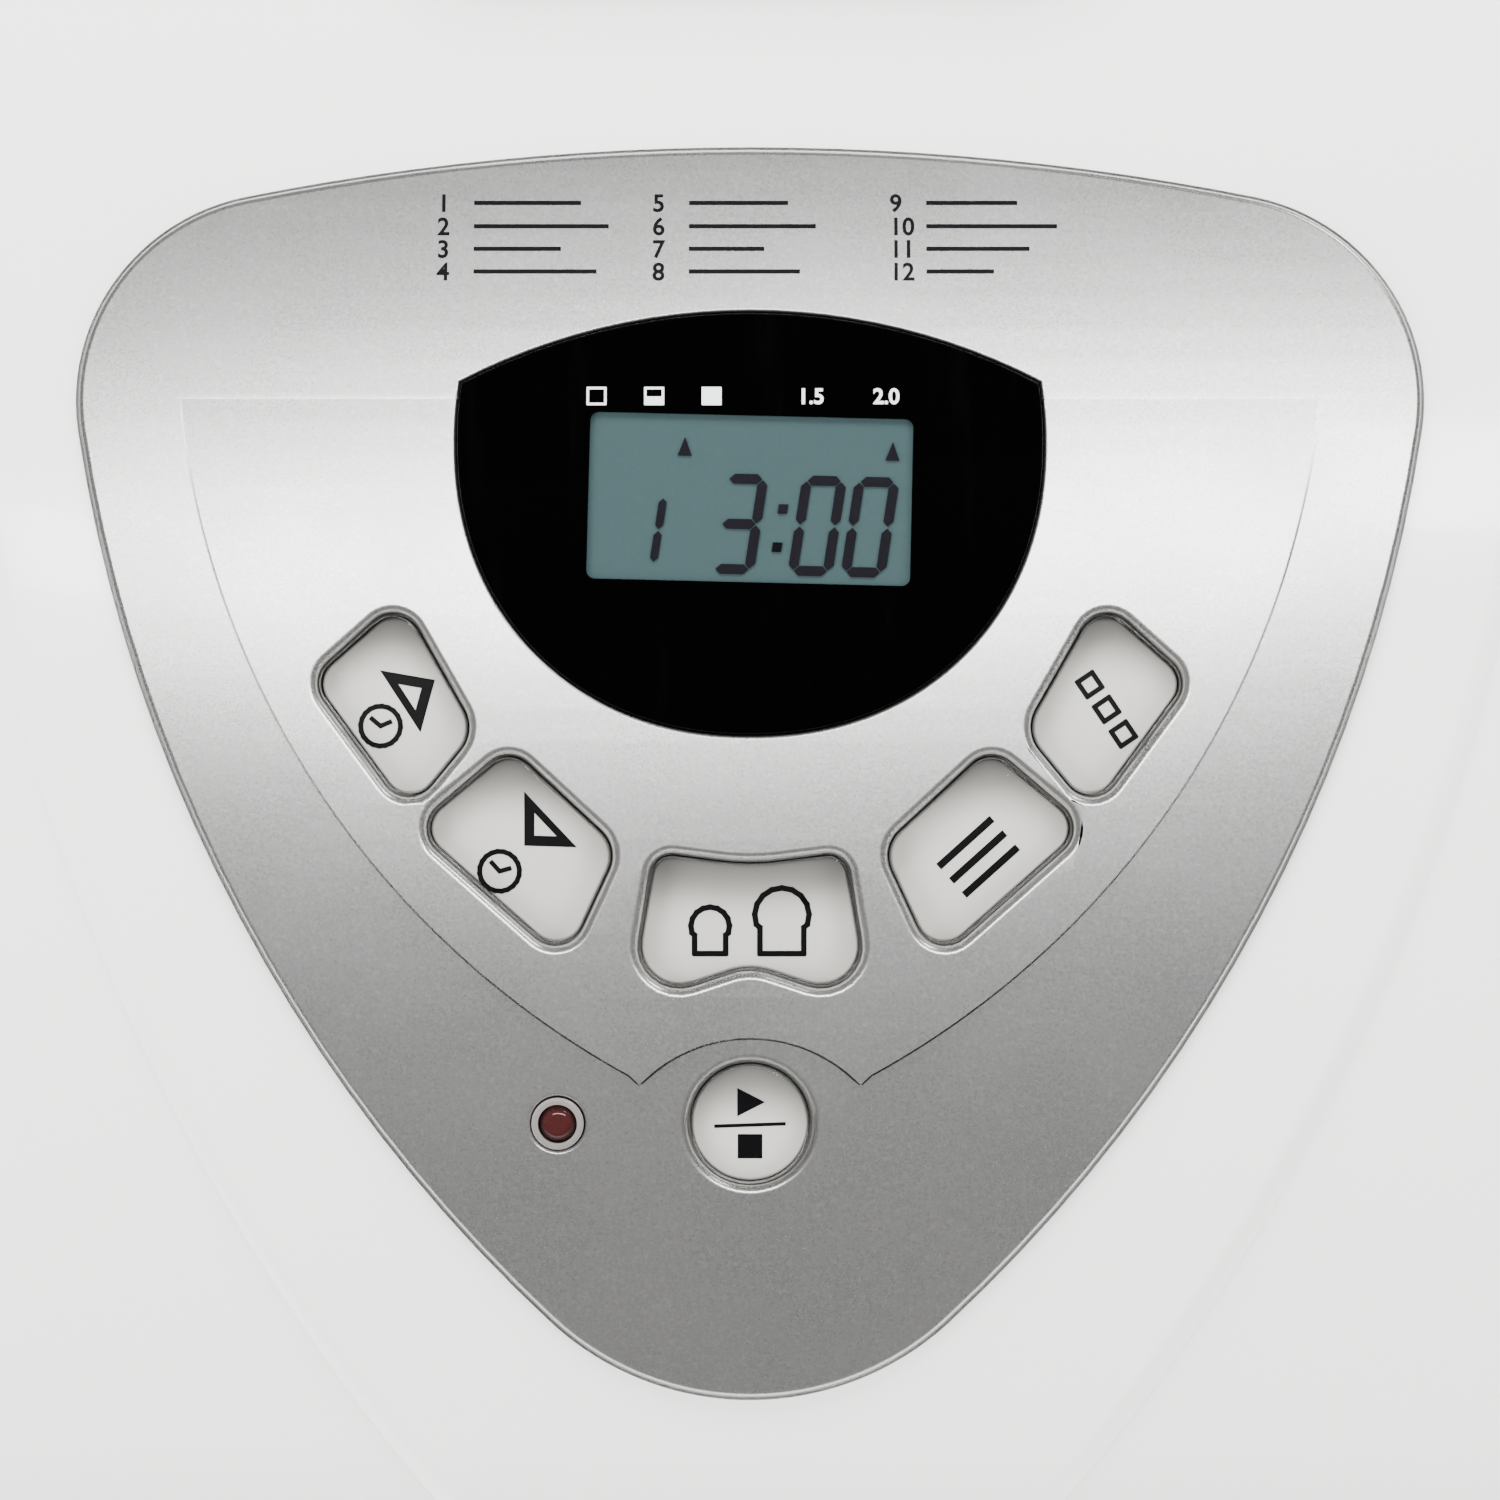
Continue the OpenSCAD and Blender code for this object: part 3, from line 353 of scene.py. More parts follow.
def rounded(corners, steps=8):
    """A polygon whose corners (x, y, radius) are rounded."""
    points = []
    for i, (x, y, radius) in enumerate(corners):
        here = Vector((x, y))
        before = (Vector(corners[i - 1][:2]) - here).normalized()
        after = (Vector(corners[(i + 1) % len(corners)][:2]) - here).normalized()
        half = before.angle(after) / 2
        centre = here + (before + after).normalized() * radius / math.sin(half)
        reach = radius / math.tan(half)
        start = angle_of(*(here + before * reach - centre))
        turn = angle_of(*(here + after * reach - centre)) - start
        turn = (turn + 180) % 360 - 180
        points += arc(radius, start, start + turn, centre, steps)
    return points


def round_rect(width, depth, radius, centre=(0, 0), steps=8):
    """A rectangle with round corners."""
    w, d = width / 2, depth / 2
    x, y = centre
    corners = ((w, d), (-w, d), (-w, -d), (w, -d))
    return rounded([(x + a, y + b, radius) for a, b in corners], steps)


def grown(points, distance):
    """A closed outline moved outwards along its normals."""
    area = sum(a[0] * b[1] - b[0] * a[1] for a, b in zip(points, points[1:] + points[:1]))
    side = math.copysign(1, area)
    out = []
    for i, (x, y) in enumerate(points):
        a, b = points[i - 1], points[(i + 1) % len(points)]
        along = Vector((b[0] - a[0], b[1] - a[1])).normalized()
        out.append((x + side * along.y * distance, y - side * along.x * distance))
    return out


SHOULDER, SHOULDER_R, TIP_R, SIDE_R = (58.5, 47.3), 25.8, 36.0, 200.0


def shield(half_length, grow=0.0):
    """The panel's outline: a top arc, two shoulders, two long sides and a tip, all tangent."""
    drop = half_length - SHOULDER[1]
    top_r = (SHOULDER[0] ** 2 + drop ** 2 - SHOULDER_R ** 2) / (2 * (drop - SHOULDER_R))
    top_c, tip_c = Vector((0, half_length - top_r)), Vector((0, TIP_R - half_length))
    shoulder = Vector(SHOULDER)
    reach_0, reach_1 = SIDE_R - SHOULDER_R, SIDE_R - TIP_R
    line = tip_c - shoulder
    gap = line.length
    along = (gap ** 2 + reach_0 ** 2 - reach_1 ** 2) / (2 * gap)
    off = math.sqrt(reach_0 ** 2 - along ** 2)
    side_c = shoulder + line / gap * along + Vector((line.y, -line.x)) / gap * off
    a1, a2, a3 = angle_of(*(shoulder - top_c)), angle_of(*(shoulder - side_c)), angle_of(*(tip_c - side_c))
    half = arc(top_r + grow, 90, a1, top_c, 12)[:-1] + arc(SHOULDER_R + grow, a1, a2, shoulder, 24)[:-1]
    half += arc(SIDE_R + grow, a2, a3, side_c, 20)[:-1] + arc(TIP_R + grow, a3, -90, tip_c, 20)
    return half + mirrored(half)[1:-1]


STEP_R, STEP_C, STEP_TOP, STEP_TILT = 110.0, (38.1, 58.7), 47.0, 0.6
STEP_ROUND, STEP_ROUND_R = (0.0, -52.0), 19.1
GROOVE_DEPTH, GROOVE_RUN = 0.26, 20.0


def step_outline():
    """The raised field of the panel: two arcs that meet the round notch above the start button."""
    def meets(x, y):
        return math.hypot(x - STEP_ROUND[0], y - STEP_ROUND[1]) < STEP_ROUND_R
    high = math.degrees(math.asin((STEP_C[1] - STEP_TOP) / STEP_R))
    side = [p for p in arc(STEP_R, 180 + high, 245, STEP_C, 60) if not meets(*p)]
    x, y = side[-1]
    start = angle_of(x - STEP_ROUND[0], y - STEP_ROUND[1])
    notch = arc(STEP_ROUND_R, start, 180 - start, STEP_ROUND, 28)
    return side + notch + mirrored(side)


def lens_outline():
    """The display lens: a soft round bowl cut off by a shallow arc, which leaves two points."""
    power, half_w, half_h, centre_y, cap_r, cap_y = 2.15, 36.8, 37.0, 41.8, 78.0, -20.0

    def bowl(turn):
        c, s = math.cos(math.radians(turn)), math.sin(math.radians(turn))
        x = half_w * math.copysign(abs(c) ** (2 / power), c)
        return x, centre_y + half_h * math.copysign(abs(s) ** (2 / power), s)

    low, high = 0.0, 60.0
    for _ in range(40):
        middle = (low + high) / 2
        x, y = bowl(middle)
        low, high = (middle, high) if math.hypot(x, y - cap_y) < cap_r else (low, middle)
    half = [bowl(-90 + (low + 90) * i / 60) for i in range(61)]
    corner = half[-1]
    turn = angle_of(corner[0], corner[1] - cap_y)
    return mirrored(half)[:-1] + half + arc(cap_r, turn, 180 - turn, (0, cap_y), 24)[1:-1]


UPPER = [(-43.75, 21.75, 3.4), (-54.9, 11.75, 3.4), (-42.75, -4.75, 3.4), (-34.4, 5.4, 4.4)]
LOWER = [(-30, 3.25, 3.4), (-41.9, -6.75, 3.4), (-23.1, -23.5, 3.6), (-16.5, -9.25, 4.2)]
WAIST = [(-11.9, -9.9, 2.6), (-15.1, -28.9, 5), (0, -23.9, 8), (15.1, -28.9, 5), (11.9, -9.9, 2.6),
         (0, -11.4, 30)]
START_AT, LED_AT, RING_R, LED_R = (0.0, -43.9), (-24.1, -43.8), 3.4, 2.4


def button_outlines(panel):
    """Outline of each button by name."""
    upper, lower = rounded(UPPER), rounded(LOWER)
    return {
        "time_up": upper, "time_down": lower, "crust": mirrored(upper), "menu": mirrored(lower),
        "loaf_size": rounded(WAIST), "start_stop": arc(panel.start_radius, 0, 354, START_AT, 59),
    }


# ---- the deck and the body's form ----

class Form:
    """The side view of the body, from its settings and the CAD boxes."""

    def __init__(self, settings):
        s = self.s = settings
        foot, panel, lid = (math.radians(a) for a in (s.foot_slope, s.panel_slope, s.lid_slope))
        self.front_y, self.rear_y = BODY_LOW[1], BODY_HIGH[1]
        self.half_w = BODY_HIGH[0]
        deck_y = self.front_y + s.roll_radius * (1 - math.cos(math.pi / 2 - foot))
        deck_z = s.front_height + s.roll_radius * math.sin(math.pi / 2 - foot)
        self.lid_y = deck_y + s.deck_radius * (math.sin(foot) - math.sin(lid))
        self.lid_z = deck_z + s.deck_radius * (math.cos(lid) - math.cos(foot))
        self.top_r = (self.rear_y - s.rear_radius - self.lid_y) / math.sin(lid)
        self.top_z = self.lid_z + self.top_r * (1 - math.cos(lid))
        self.panel_y = deck_y + s.deck_radius * (math.sin(foot) - math.sin(panel))
        self.panel_z = deck_z + s.deck_radius * (math.cos(panel) - math.cos(foot))
        self.up = Vector((0, math.cos(panel), math.sin(panel)))
        self.out = Vector((0, -math.sin(panel), math.cos(panel)))
        self.origin = Vector((0, self.panel_y, self.panel_z))

    def side_points(self, inset, foot_z):
        """The side view, inset by a distance."""
        s = self.s
        deck_c = (self.lid_y + s.deck_radius * math.sin(math.radians(s.lid_slope)),
                  self.lid_z - s.deck_radius * math.cos(math.radians(s.lid_slope)))
        points = [(self.rear_y - inset, foot_z), (self.front_y + inset, foot_z)]
        points += arc(s.roll_radius - inset, 180, 90 + s.foot_slope,
                      (self.front_y + s.roll_radius, s.front_height), 14)
        points += arc(s.deck_radius - inset, 90 + s.foot_slope, 90 + s.lid_slope, deck_c, 26)[1:]
        points += arc(self.top_r - inset, 90 + s.lid_slope, 90,
                      (self.rear_y - s.rear_radius, self.top_z - self.top_r), 22)[1:]
        points += arc(s.rear_radius - inset, 90, 0,
                      (self.rear_y - s.rear_radius, self.top_z - s.rear_radius), 18)[1:]
        return points

    def solid(self, name, inset, edge_r):
        """The form as a solid with rounded sides, open to no side and running on below the floor."""
        foot_z = -60.0
        half = self.half_w - inset
        side = self.side_points(inset + self.s.field_height, foot_z)
        obj = extrude(sheet(name, [(-half, y, z) for y, z in side]), 2 * half, 0, 0)
        bevel(obj, edge_r, 12, lambda e: abs(e.verts[0].co.x - e.verts[1].co.x) < 1e-6)
        return obj

    def at(self, across, up, height):
        """A point of the deck in metres: across, up the slope, and above its curved surface."""
        r = self.s.deck_radius
        rise = math.sqrt((r + height) ** 2 - up ** 2) - r
        return (Vector((across, 0, 0)) + self.origin + self.up * up + self.out * rise) * MM

    def lay(self, obj):
        """Moves a piece from the flat panel plane onto the curved deck."""
        for vertex in obj.data.vertices:
            vertex.co = self.at(*(vertex.co / MM))
        obj.data.update()
        return obj

    def curve(self, obj, step=4.0):
        """Cuts a flat piece across every few millimetres and lays it on the deck."""
        ups = [v.co.y / MM for v in obj.data.vertices]
        lines = [i * step for i in range(math.ceil(min(ups) / step), math.floor(max(ups) / step) + 1)]
        with Edit(obj):
            for line in lines:
                bpy.ops.mesh.select_all(action="SELECT")
                bpy.ops.mesh.bisect(plane_co=(0, line * MM, 0), plane_no=(0, 1, 0))
        return self.lay(obj)


FIELD_R, FIELD_C = 279.0, (-180.0, 83.7)


def field_outline(grow):
    """Half of the centre field's edge in the panel's plane, from behind the lid to the front tip."""
    radius = FIELD_R + grow
    low = math.degrees(math.acos(-FIELD_C[0] / radius))
    straight = [(radius + FIELD_C[0], y) for y in (400.0, 330.0, 260.0, 190.0, 120.0)]
    half = straight + arc(radius, 0, -low, FIELD_C, 40)
    return half + mirrored(half)[1:]


def field_distance(across, up):
    """How far a point lies outside the centre field."""
    if up > FIELD_C[1]:
        return abs(across) - FIELD_R - FIELD_C[0]
    return math.hypot(abs(across) - FIELD_C[0], up - FIELD_C[1]) - FIELD_R


def raise_field(form, obj):
    """Cuts the field's edge lines into the form and raises what lies inside them in a soft slope."""
    s = form.s
    shares = (0.0, 0.2, 0.4, 0.6, 0.8, 1.0)
    walls = []
    for share in shares:
        line = field_outline(s.field_edge * share)
        only(None)
        bpy.ops.mesh.primitive_grid_add(x_subdivisions=len(line) - 1, y_subdivisions=1, size=1)
        wall = take("field_wall")
        for i, vertex in enumerate(wall.data.vertices):
            across, up = line[i % len(line)]
            depth = -450.0 if i < len(line) else 150.0
            vertex.co = (Vector((across, 0, 0)) + form.origin + form.up * up + form.out * depth) * MM
        walls.append(wall)
    tool = join("field_walls", walls)
    marks = [bpy.data.materials.new("form_mark"), bpy.data.materials.new("wall_mark")]
    for thing, slot in ((obj, 0), (tool, 1)):
        thing.data.materials.clear()
        for mark in marks:
            thing.data.materials.append(mark)
        for face in thing.data.polygons:
            face.material_index = slot
    only(obj)
    tool.select_set(True)
    bpy.ops.object.join()
    with Edit(obj) as edit:
        edit.pick("faces", lambda face: face.material_index == 1)
        bpy.ops.mesh.intersect(mode="SELECT_UNSELECT", separate_mode="NONE", solver="EXACT")
        edit.pick("faces", lambda face: face.material_index == 1)
        bpy.ops.mesh.delete(type="FACE")
        bpy.ops.mesh.select_all(action="SELECT")
        bpy.ops.mesh.remove_doubles(threshold=0.01 * MM)
    normals = [v.normal.copy() for v in obj.data.vertices]
    for vertex, normal in zip(obj.data.vertices, normals):
        rel = vertex.co / MM - form.origin
        outside = field_distance(rel.x, rel.dot(form.up)) / s.field_edge
        lift = s.field_height * math.cos(min(max(outside, 0.0), 1.0) * math.pi / 2)
        normal.x = 0
        vertex.co += normal.normalized() * lift * MM if normal.length > 0.1 else Vector()
    obj.data.materials.clear()
    for mark in marks:
        bpy.data.materials.remove(mark)
    obj.data.update()
    return obj


# ---- materials ----

class Value:
    """A number in a shader: Python's operators add Math nodes."""

    def __init__(self, maker, socket):
        self.maker, self.socket = maker, socket

    def math(self, operation, other):
        node = self.maker.add("ShaderNodeMath", {"operation": operation}, {0: self.socket, 1: other})
        return Value(self.maker, node.outputs[0])

    def __add__(self, other):
        return self.math("ADD", other)

    def __sub__(self, other):
        return self.math("SUBTRACT", other)

    def __mul__(self, other):
        return self.math("MULTIPLY", other)

    def __pow__(self, other):
        return self.math("POWER", other)

    __radd__, __rmul__ = __add__, __mul__

    def between(self, low, high):
        """0 below low, 1 above high, and smooth between them."""
        node = self.maker.add("ShaderNodeMapRange", {"interpolation_type": "SMOOTHSTEP"},
                              {"Value": self.socket, "From Min": low, "From Max": high})
        return Value(self.maker, node.outputs[0])


class Maker:
    """Builds one node material."""

    def __init__(self, name):
        self.material = bpy.data.materials.new(name)
        self.material.use_nodes = True
        self.tree = self.material.node_tree
        self.shader = self.tree.nodes["Principled BSDF"]
        self.place = self.tree.nodes.new("ShaderNodeTexCoord").outputs["Object"]

    def add(self, kind, settings=None, inputs=None):
        """A node with its settings, then the values or links of its sockets."""
        node = self.tree.nodes.new(kind)
        for key, value in (settings or {}).items():
            setattr(node, key, value)
        for key, value in (inputs or {}).items():
            self.link(node.inputs[key], value)
        return node

    def link(self, socket, value):
        value = value.socket if isinstance(value, Value) else value
        if isinstance(value, bpy.types.NodeSocket):
            self.tree.links.new(value, socket)
        else:
            socket.default_value = value

    def noise(self, scale, detail=3.0, roughness=0.5, stretch=(1, 1, 1)):
        """Noise of so many waves a metre, stretched along an axis if asked."""
        mapping = self.add("ShaderNodeMapping", {}, {"Vector": self.place, "Scale": stretch})
        node = self.add("ShaderNodeTexNoise", {}, {"Vector": mapping.outputs[0], "Scale": scale,
                                                   "Detail": detail, "Roughness": roughness})
        return Value(self, node.outputs[0])

    def attribute(self, name):
        """A number stored on the mesh's points."""
        return Value(self, self.add("ShaderNodeAttribute", {"attribute_name": name}).outputs["Fac"])

    def mix(self, share, first, second):
        """A colour between two colours."""
        node = self.add("ShaderNodeMix", {"data_type": "RGBA"}, {})
        self.link(node.inputs[0], share)
        for socket, shade in ((node.inputs[6], first), (node.inputs[7], second)):
            self.link(socket, (*shade, 1) if isinstance(shade, tuple) else shade)
        return node.outputs[2]

    def bump(self, height, distance, strength=1.0):
        """Surface relief in metres."""
        node = self.add("ShaderNodeBump", {}, {"Height": height, "Distance": distance, "Strength": strength})
        self.link(self.shader.inputs["Normal"], node.outputs[0])

    def set(self, **values):
        """Sets the shader's own sockets; an underscore stands for a space."""
        for key, value in values.items():
            socket = self.shader.inputs[key.replace("_", " ")]
            self.link(socket, (*value, 1) if isinstance(value, tuple) and len(value) == 3 else value)
        return self


def shade(rgb, share):
    """A colour made lighter or darker."""
    return tuple(min(1.0, c * share) for c in rgb)


def plastic(name, rgb, roughness, peel=0.000012, coat=0.0, speckle=0.02):
    """Moulded plastic: faint colour drift, orange peel and uneven gloss."""
    m = Maker(name)
    drift, peel_noise, smear = m.noise(9.0, 2.0), m.noise(420.0, 2.0), m.noise(28.0, 4.0, 0.6)
    m.set(Base_Color=m.mix(drift, shade(rgb, 1 - speckle), shade(rgb, 1 + speckle)),
          Roughness=roughness + (smear - 0.5) * roughness * 0.35, Coat_Weight=coat, Coat_Roughness=0.05)
    m.bump(peel_noise, peel, 0.35)
    return m.material


def silver_paint(name, rgb):
    """Metallic paint: fine bright flakes in a satin ground, under orange peel, with painted shade that darkens it
    in the moats' rims, the field's groove and other sunk places.
    """
    m = Maker(name)
    grain, flakes, cloud = m.noise(2600.0, 2.0), m.noise(1500.0, 1.0), m.noise(60.0, 3.0)
    spark = flakes.between(0.56, 0.72)
    base = m.mix(grain.between(0.3, 0.7), shade(rgb, 0.93), shade(rgb, 1.07))
    paint = m.mix(spark * 0.35, base, shade(rgb, 1.35))
    # Painted shade: the stored depth below the panel's face darkens the paint towards a tenth of its colour.
    painted_rim_shade = m.attribute("depth").between(0.0, 0.5) * 0.72
    m.set(Base_Color=m.mix(painted_rim_shade, paint, shade(rgb, 0.1)), Metallic=0.97,
          Roughness=0.28 + (cloud - 0.5) * 0.05 + (grain - 0.5) * 0.05)
    m.bump(grain, 0.000006, 0.5)
    return m.material


def metal(name, rgb, roughness, stretch=(1, 1, 1), scale=500.0):
    """Bare metal: rolling or grinding lines along an axis, with dull patches."""
    m = Maker(name)
    lines, patch = m.noise(scale, 4.0, 0.7, stretch), m.noise(22.0, 4.0)
    m.set(Base_Color=m.mix(patch, shade(rgb, 0.9), shade(rgb, 1.08)), Metallic=1.0,
          Roughness=roughness + (lines - 0.5) * 0.18 + (patch - 0.5) * 0.12)
    m.bump(lines, 0.000008, 0.4)
    return m.material


def rubber(name, rgb):
    """Rubber with dust in its grain."""
    m = Maker(name)
    grain, dust = m.noise(900.0, 3.0), m.noise(40.0, 5.0)
    m.set(Base_Color=m.mix(dust.between(0.5, 0.8) * 0.4, rgb, (0.16, 0.155, 0.15)),
          Roughness=0.72 + (dust - 0.5) * 0.2)
    m.bump(grain, 0.00003, 0.5)
    return m.material


def coating(name, rgb):
    """Non-stick coating: dark, fine speckle, half gloss."""
    m = Maker(name)
    speck, wear = m.noise(1300.0, 1.0), m.noise(30.0, 4.0)
    m.set(Base_Color=m.mix(speck.between(0.66, 0.72) * 0.6, rgb, (0.3, 0.3, 0.31)),
          Roughness=0.36 + (wear - 0.5) * 0.2, Metallic=0.25)
    m.bump(speck, 0.00001, 0.4)
    return m.material


def lens_black(name, rgb):
    """Piano-black lens with faint wiping marks."""
    m = Maker(name)
    wipe = m.noise(240.0, 3.0, 0.6, (1, 0.12, 0.12))
    slant = Value(m, m.add("ShaderNodeLayerWeight", {}, {"Blend": 0.5}).outputs["Facing"])
    m.set(Base_Color=m.mix(wipe.between(0.55, 0.9) * 0.2, rgb, (0.004, 0.004, 0.0042)),
          Roughness=0.06 + wipe * 0.05, Specular_IOR_Level=0.0, Coat_Weight=slant ** 2, Coat_Roughness=0.04)
    return m.material


def clear(name, alpha, rgb=(0.9, 0.92, 0.92), roughness=0.03):
    """Tinted clear plastic or glass."""
    m = Maker(name)
    smear = m.noise(35.0, 4.0)
    m.set(Base_Color=m.mix(smear, shade(rgb, 0.97), rgb), Roughness=roughness + smear * 0.03,
          Alpha=alpha + (smear - 0.5) * 0.04)
    return m.material


def crystal(name, gloss):
    """Water-clear plastic: nothing seen square on, more and more gloss towards the rims."""
    m = Maker(name)
    smear = m.noise(60.0, 4.0)
    slant = Value(m, m.add("ShaderNodeLayerWeight", {}, {"Blend": 0.5}).outputs["Facing"])
    shine = m.add("ShaderNodeBsdfAnisotropic", {}, {"Color": (1, 1, 1, 1)})
    m.link(shine.inputs["Roughness"], smear * 0.06 + 0.02)
    through = m.add("ShaderNodeBsdfTransparent", {}, {"Color": (0.97, 0.97, 0.96, 1)})
    both = m.add("ShaderNodeMixShader", {}, {0: slant ** 2 * gloss, 1: through.outputs[0], 2: shine.outputs[0]})
    m.link(m.tree.nodes["Material Output"].inputs["Surface"], both.outputs[0])
    m.tree.nodes.remove(m.shader)
    return m.material


def glow(name, rgb, roughness=0.3, gloss=0.08):
    """Small printed or moulded colour with a fine grain."""
    m = Maker(name)
    grain = m.noise(1800.0, 2.0)
    m.set(Base_Color=m.mix(grain, shade(rgb, 0.94), shade(rgb, 1.06)),
          Roughness=roughness + (grain - 0.5) * 0.06, Specular_IOR_Level=gloss)
    return m.material


def insert(name, rgb):
    """Cream insert of a button, with painted shade that darkens it below its upper edge, where the moat would
    shade it.
    """
    m = Maker(name)
    grain = m.noise(700.0, 2.0)
    # Painted shade: a quarter of the colour at the top edge, full colour 9 mm down the slope.
    lit = m.attribute("rise").between(0.0, 9.0)
    base = m.mix(grain, shade(rgb, 0.985), shade(rgb, 1.015))
    m.set(Base_Color=m.mix(lit, shade(rgb, 0.26), base), Roughness=0.5 + (grain - 0.5) * 0.06,
          Specular_IOR_Level=0.1)
    return m.material


def board_green(name, rgb):
    """Circuit board: solder mask with lighter copper tracks."""
    m = Maker(name)
    tracks = m.noise(160.0, 0.0, 0.5, (1, 0.3, 1))
    m.set(Base_Color=m.mix(tracks.between(0.5, 0.53), rgb, shade(rgb, 1.7)), Roughness=0.35 + tracks * 0.1)
    m.bump(tracks, 0.00003, 0.5)
    return m.material


def laminations(name, rgb):
    """Stacked sheet steel: thin level lines."""
    m = Maker(name)
    sheets = m.noise(1.0, 0.0, 0.5, (1, 1, 1200))
    m.set(Base_Color=m.mix(sheets, shade(rgb, 0.7), shade(rgb, 1.1)), Metallic=0.9,
          Roughness=0.42 + sheets * 0.15)
    m.bump(sheets, 0.00006, 0.6)
    return m.material


def make_materials(colours):
    """One material for each slot of the record, and a few for pieces printed or seen through."""
    white = plastic("white_plastic", tuple(colours.white), 0.16, coat=0.25, speckle=0.008)
    steel = (0.62, 0.62, 0.63)
    return {
        "white_plastic": white,
        "dark_plastic": plastic("dark_plastic", (0.035, 0.035, 0.038), 0.45, 0.00003),
        "foot_rubber": rubber("foot_rubber", (0.025, 0.025, 0.026)),
        "belt_rubber": rubber("belt_rubber", (0.015, 0.015, 0.016)),
        "seal_silicone": rubber("seal_silicone", (0.3, 0.3, 0.3)),
        "silver_paint": silver_paint("silver_paint", tuple(colours.silver)),
        "lens_black": lens_black("lens_black", tuple(colours.lens)),
        "lcd_grey": glow("lcd_grey", tuple(colours.lcd), 0.5, 0.0),
        "clear_cap": plastic("clear_cap", tuple(colours.cap), 0.4, 0.000004, speckle=0.015),
        "cap_insert": insert("cap_insert", tuple(colours.cap)),
        "cap_shell": crystal("cap_shell", 1.0),
        "led_red": glow("led_red", (0.03, 0.006, 0.006), 0.12, 0.5),
        "board_green": board_green("board_green", (0.02, 0.1, 0.04)),
        "switch_black": plastic("switch_black", (0.03, 0.03, 0.03), 0.4),
        "zinc_steel": metal("zinc_steel", steel, 0.34, (1, 1, 0.1)),
        "motor_steel": laminations("motor_steel", (0.4, 0.4, 0.42)),
        "shaft_steel": metal("shaft_steel", (0.68, 0.68, 0.7), 0.2, (1, 1, 8)),
        "element_steel": metal("element_steel", (0.2, 0.19, 0.18), 0.45),
        "ceramic_white": plastic("ceramic_white", (0.75, 0.73, 0.68), 0.5, 0.00002),
        "cast_alloy": metal("cast_alloy", (0.55, 0.55, 0.56), 0.48, scale=700.0),
        "bronze": metal("bronze", (0.5, 0.31, 0.14), 0.4),
        "window_glass": clear("window_glass", 0.3, (0.62, 0.68, 0.7)),
        "nonstick": coating("nonstick", (0.05, 0.05, 0.055)),
        "fan_plastic": plastic("fan_plastic", (0.7, 0.68, 0.6), 0.4),
        "ink": glow("dark_print", tuple(colours.ink), 0.35),
        "white_ink": glow("white_print", (0.7, 0.72, 0.74), 0.4),
        "lcd_ink": glow("display_segments", (0.008, 0.0075, 0.0105), 0.5, 0.0),
        "lcd_cover": crystal("display_cover", 0.15),
        "moat": plastic("moat_shadow", (0.38, 0.38, 0.385), 0.6),
        "ring": clear("indicator_ring", 0.75, (0.2, 0.185, 0.18), 0.08),
    }


# ---- operators ----

class Settings:
    """The property groups of the scene, and the form made from them."""

    def __init__(self, context):
        scene = context.scene
        self.panel, self.stage = Sizes(scene.bread_panel), Sizes(scene.bread_stage)
        self.form = Form(Sizes(scene.bread_form))


MATERIALS = {}


class BREAD_OT_finishes(bpy.types.Operator):
    """Make the materials and put them on the CAD pieces"""
    bl_idname = "bread.finishes"
    bl_label = "Finishes"

    def execute(self, context):
        MATERIALS.update(make_materials(context.scene.bread_colours))
        for part in frame["record"]["subparts"]:
            obj = frame["nodes"][part["node"]]
            for slot in obj.material_slots:
                slot.material = MATERIALS[part["material_slot"]]
            if not obj.material_slots:
                obj.data.materials.append(MATERIALS[part["material_slot"]])
        return {"FINISHED"}


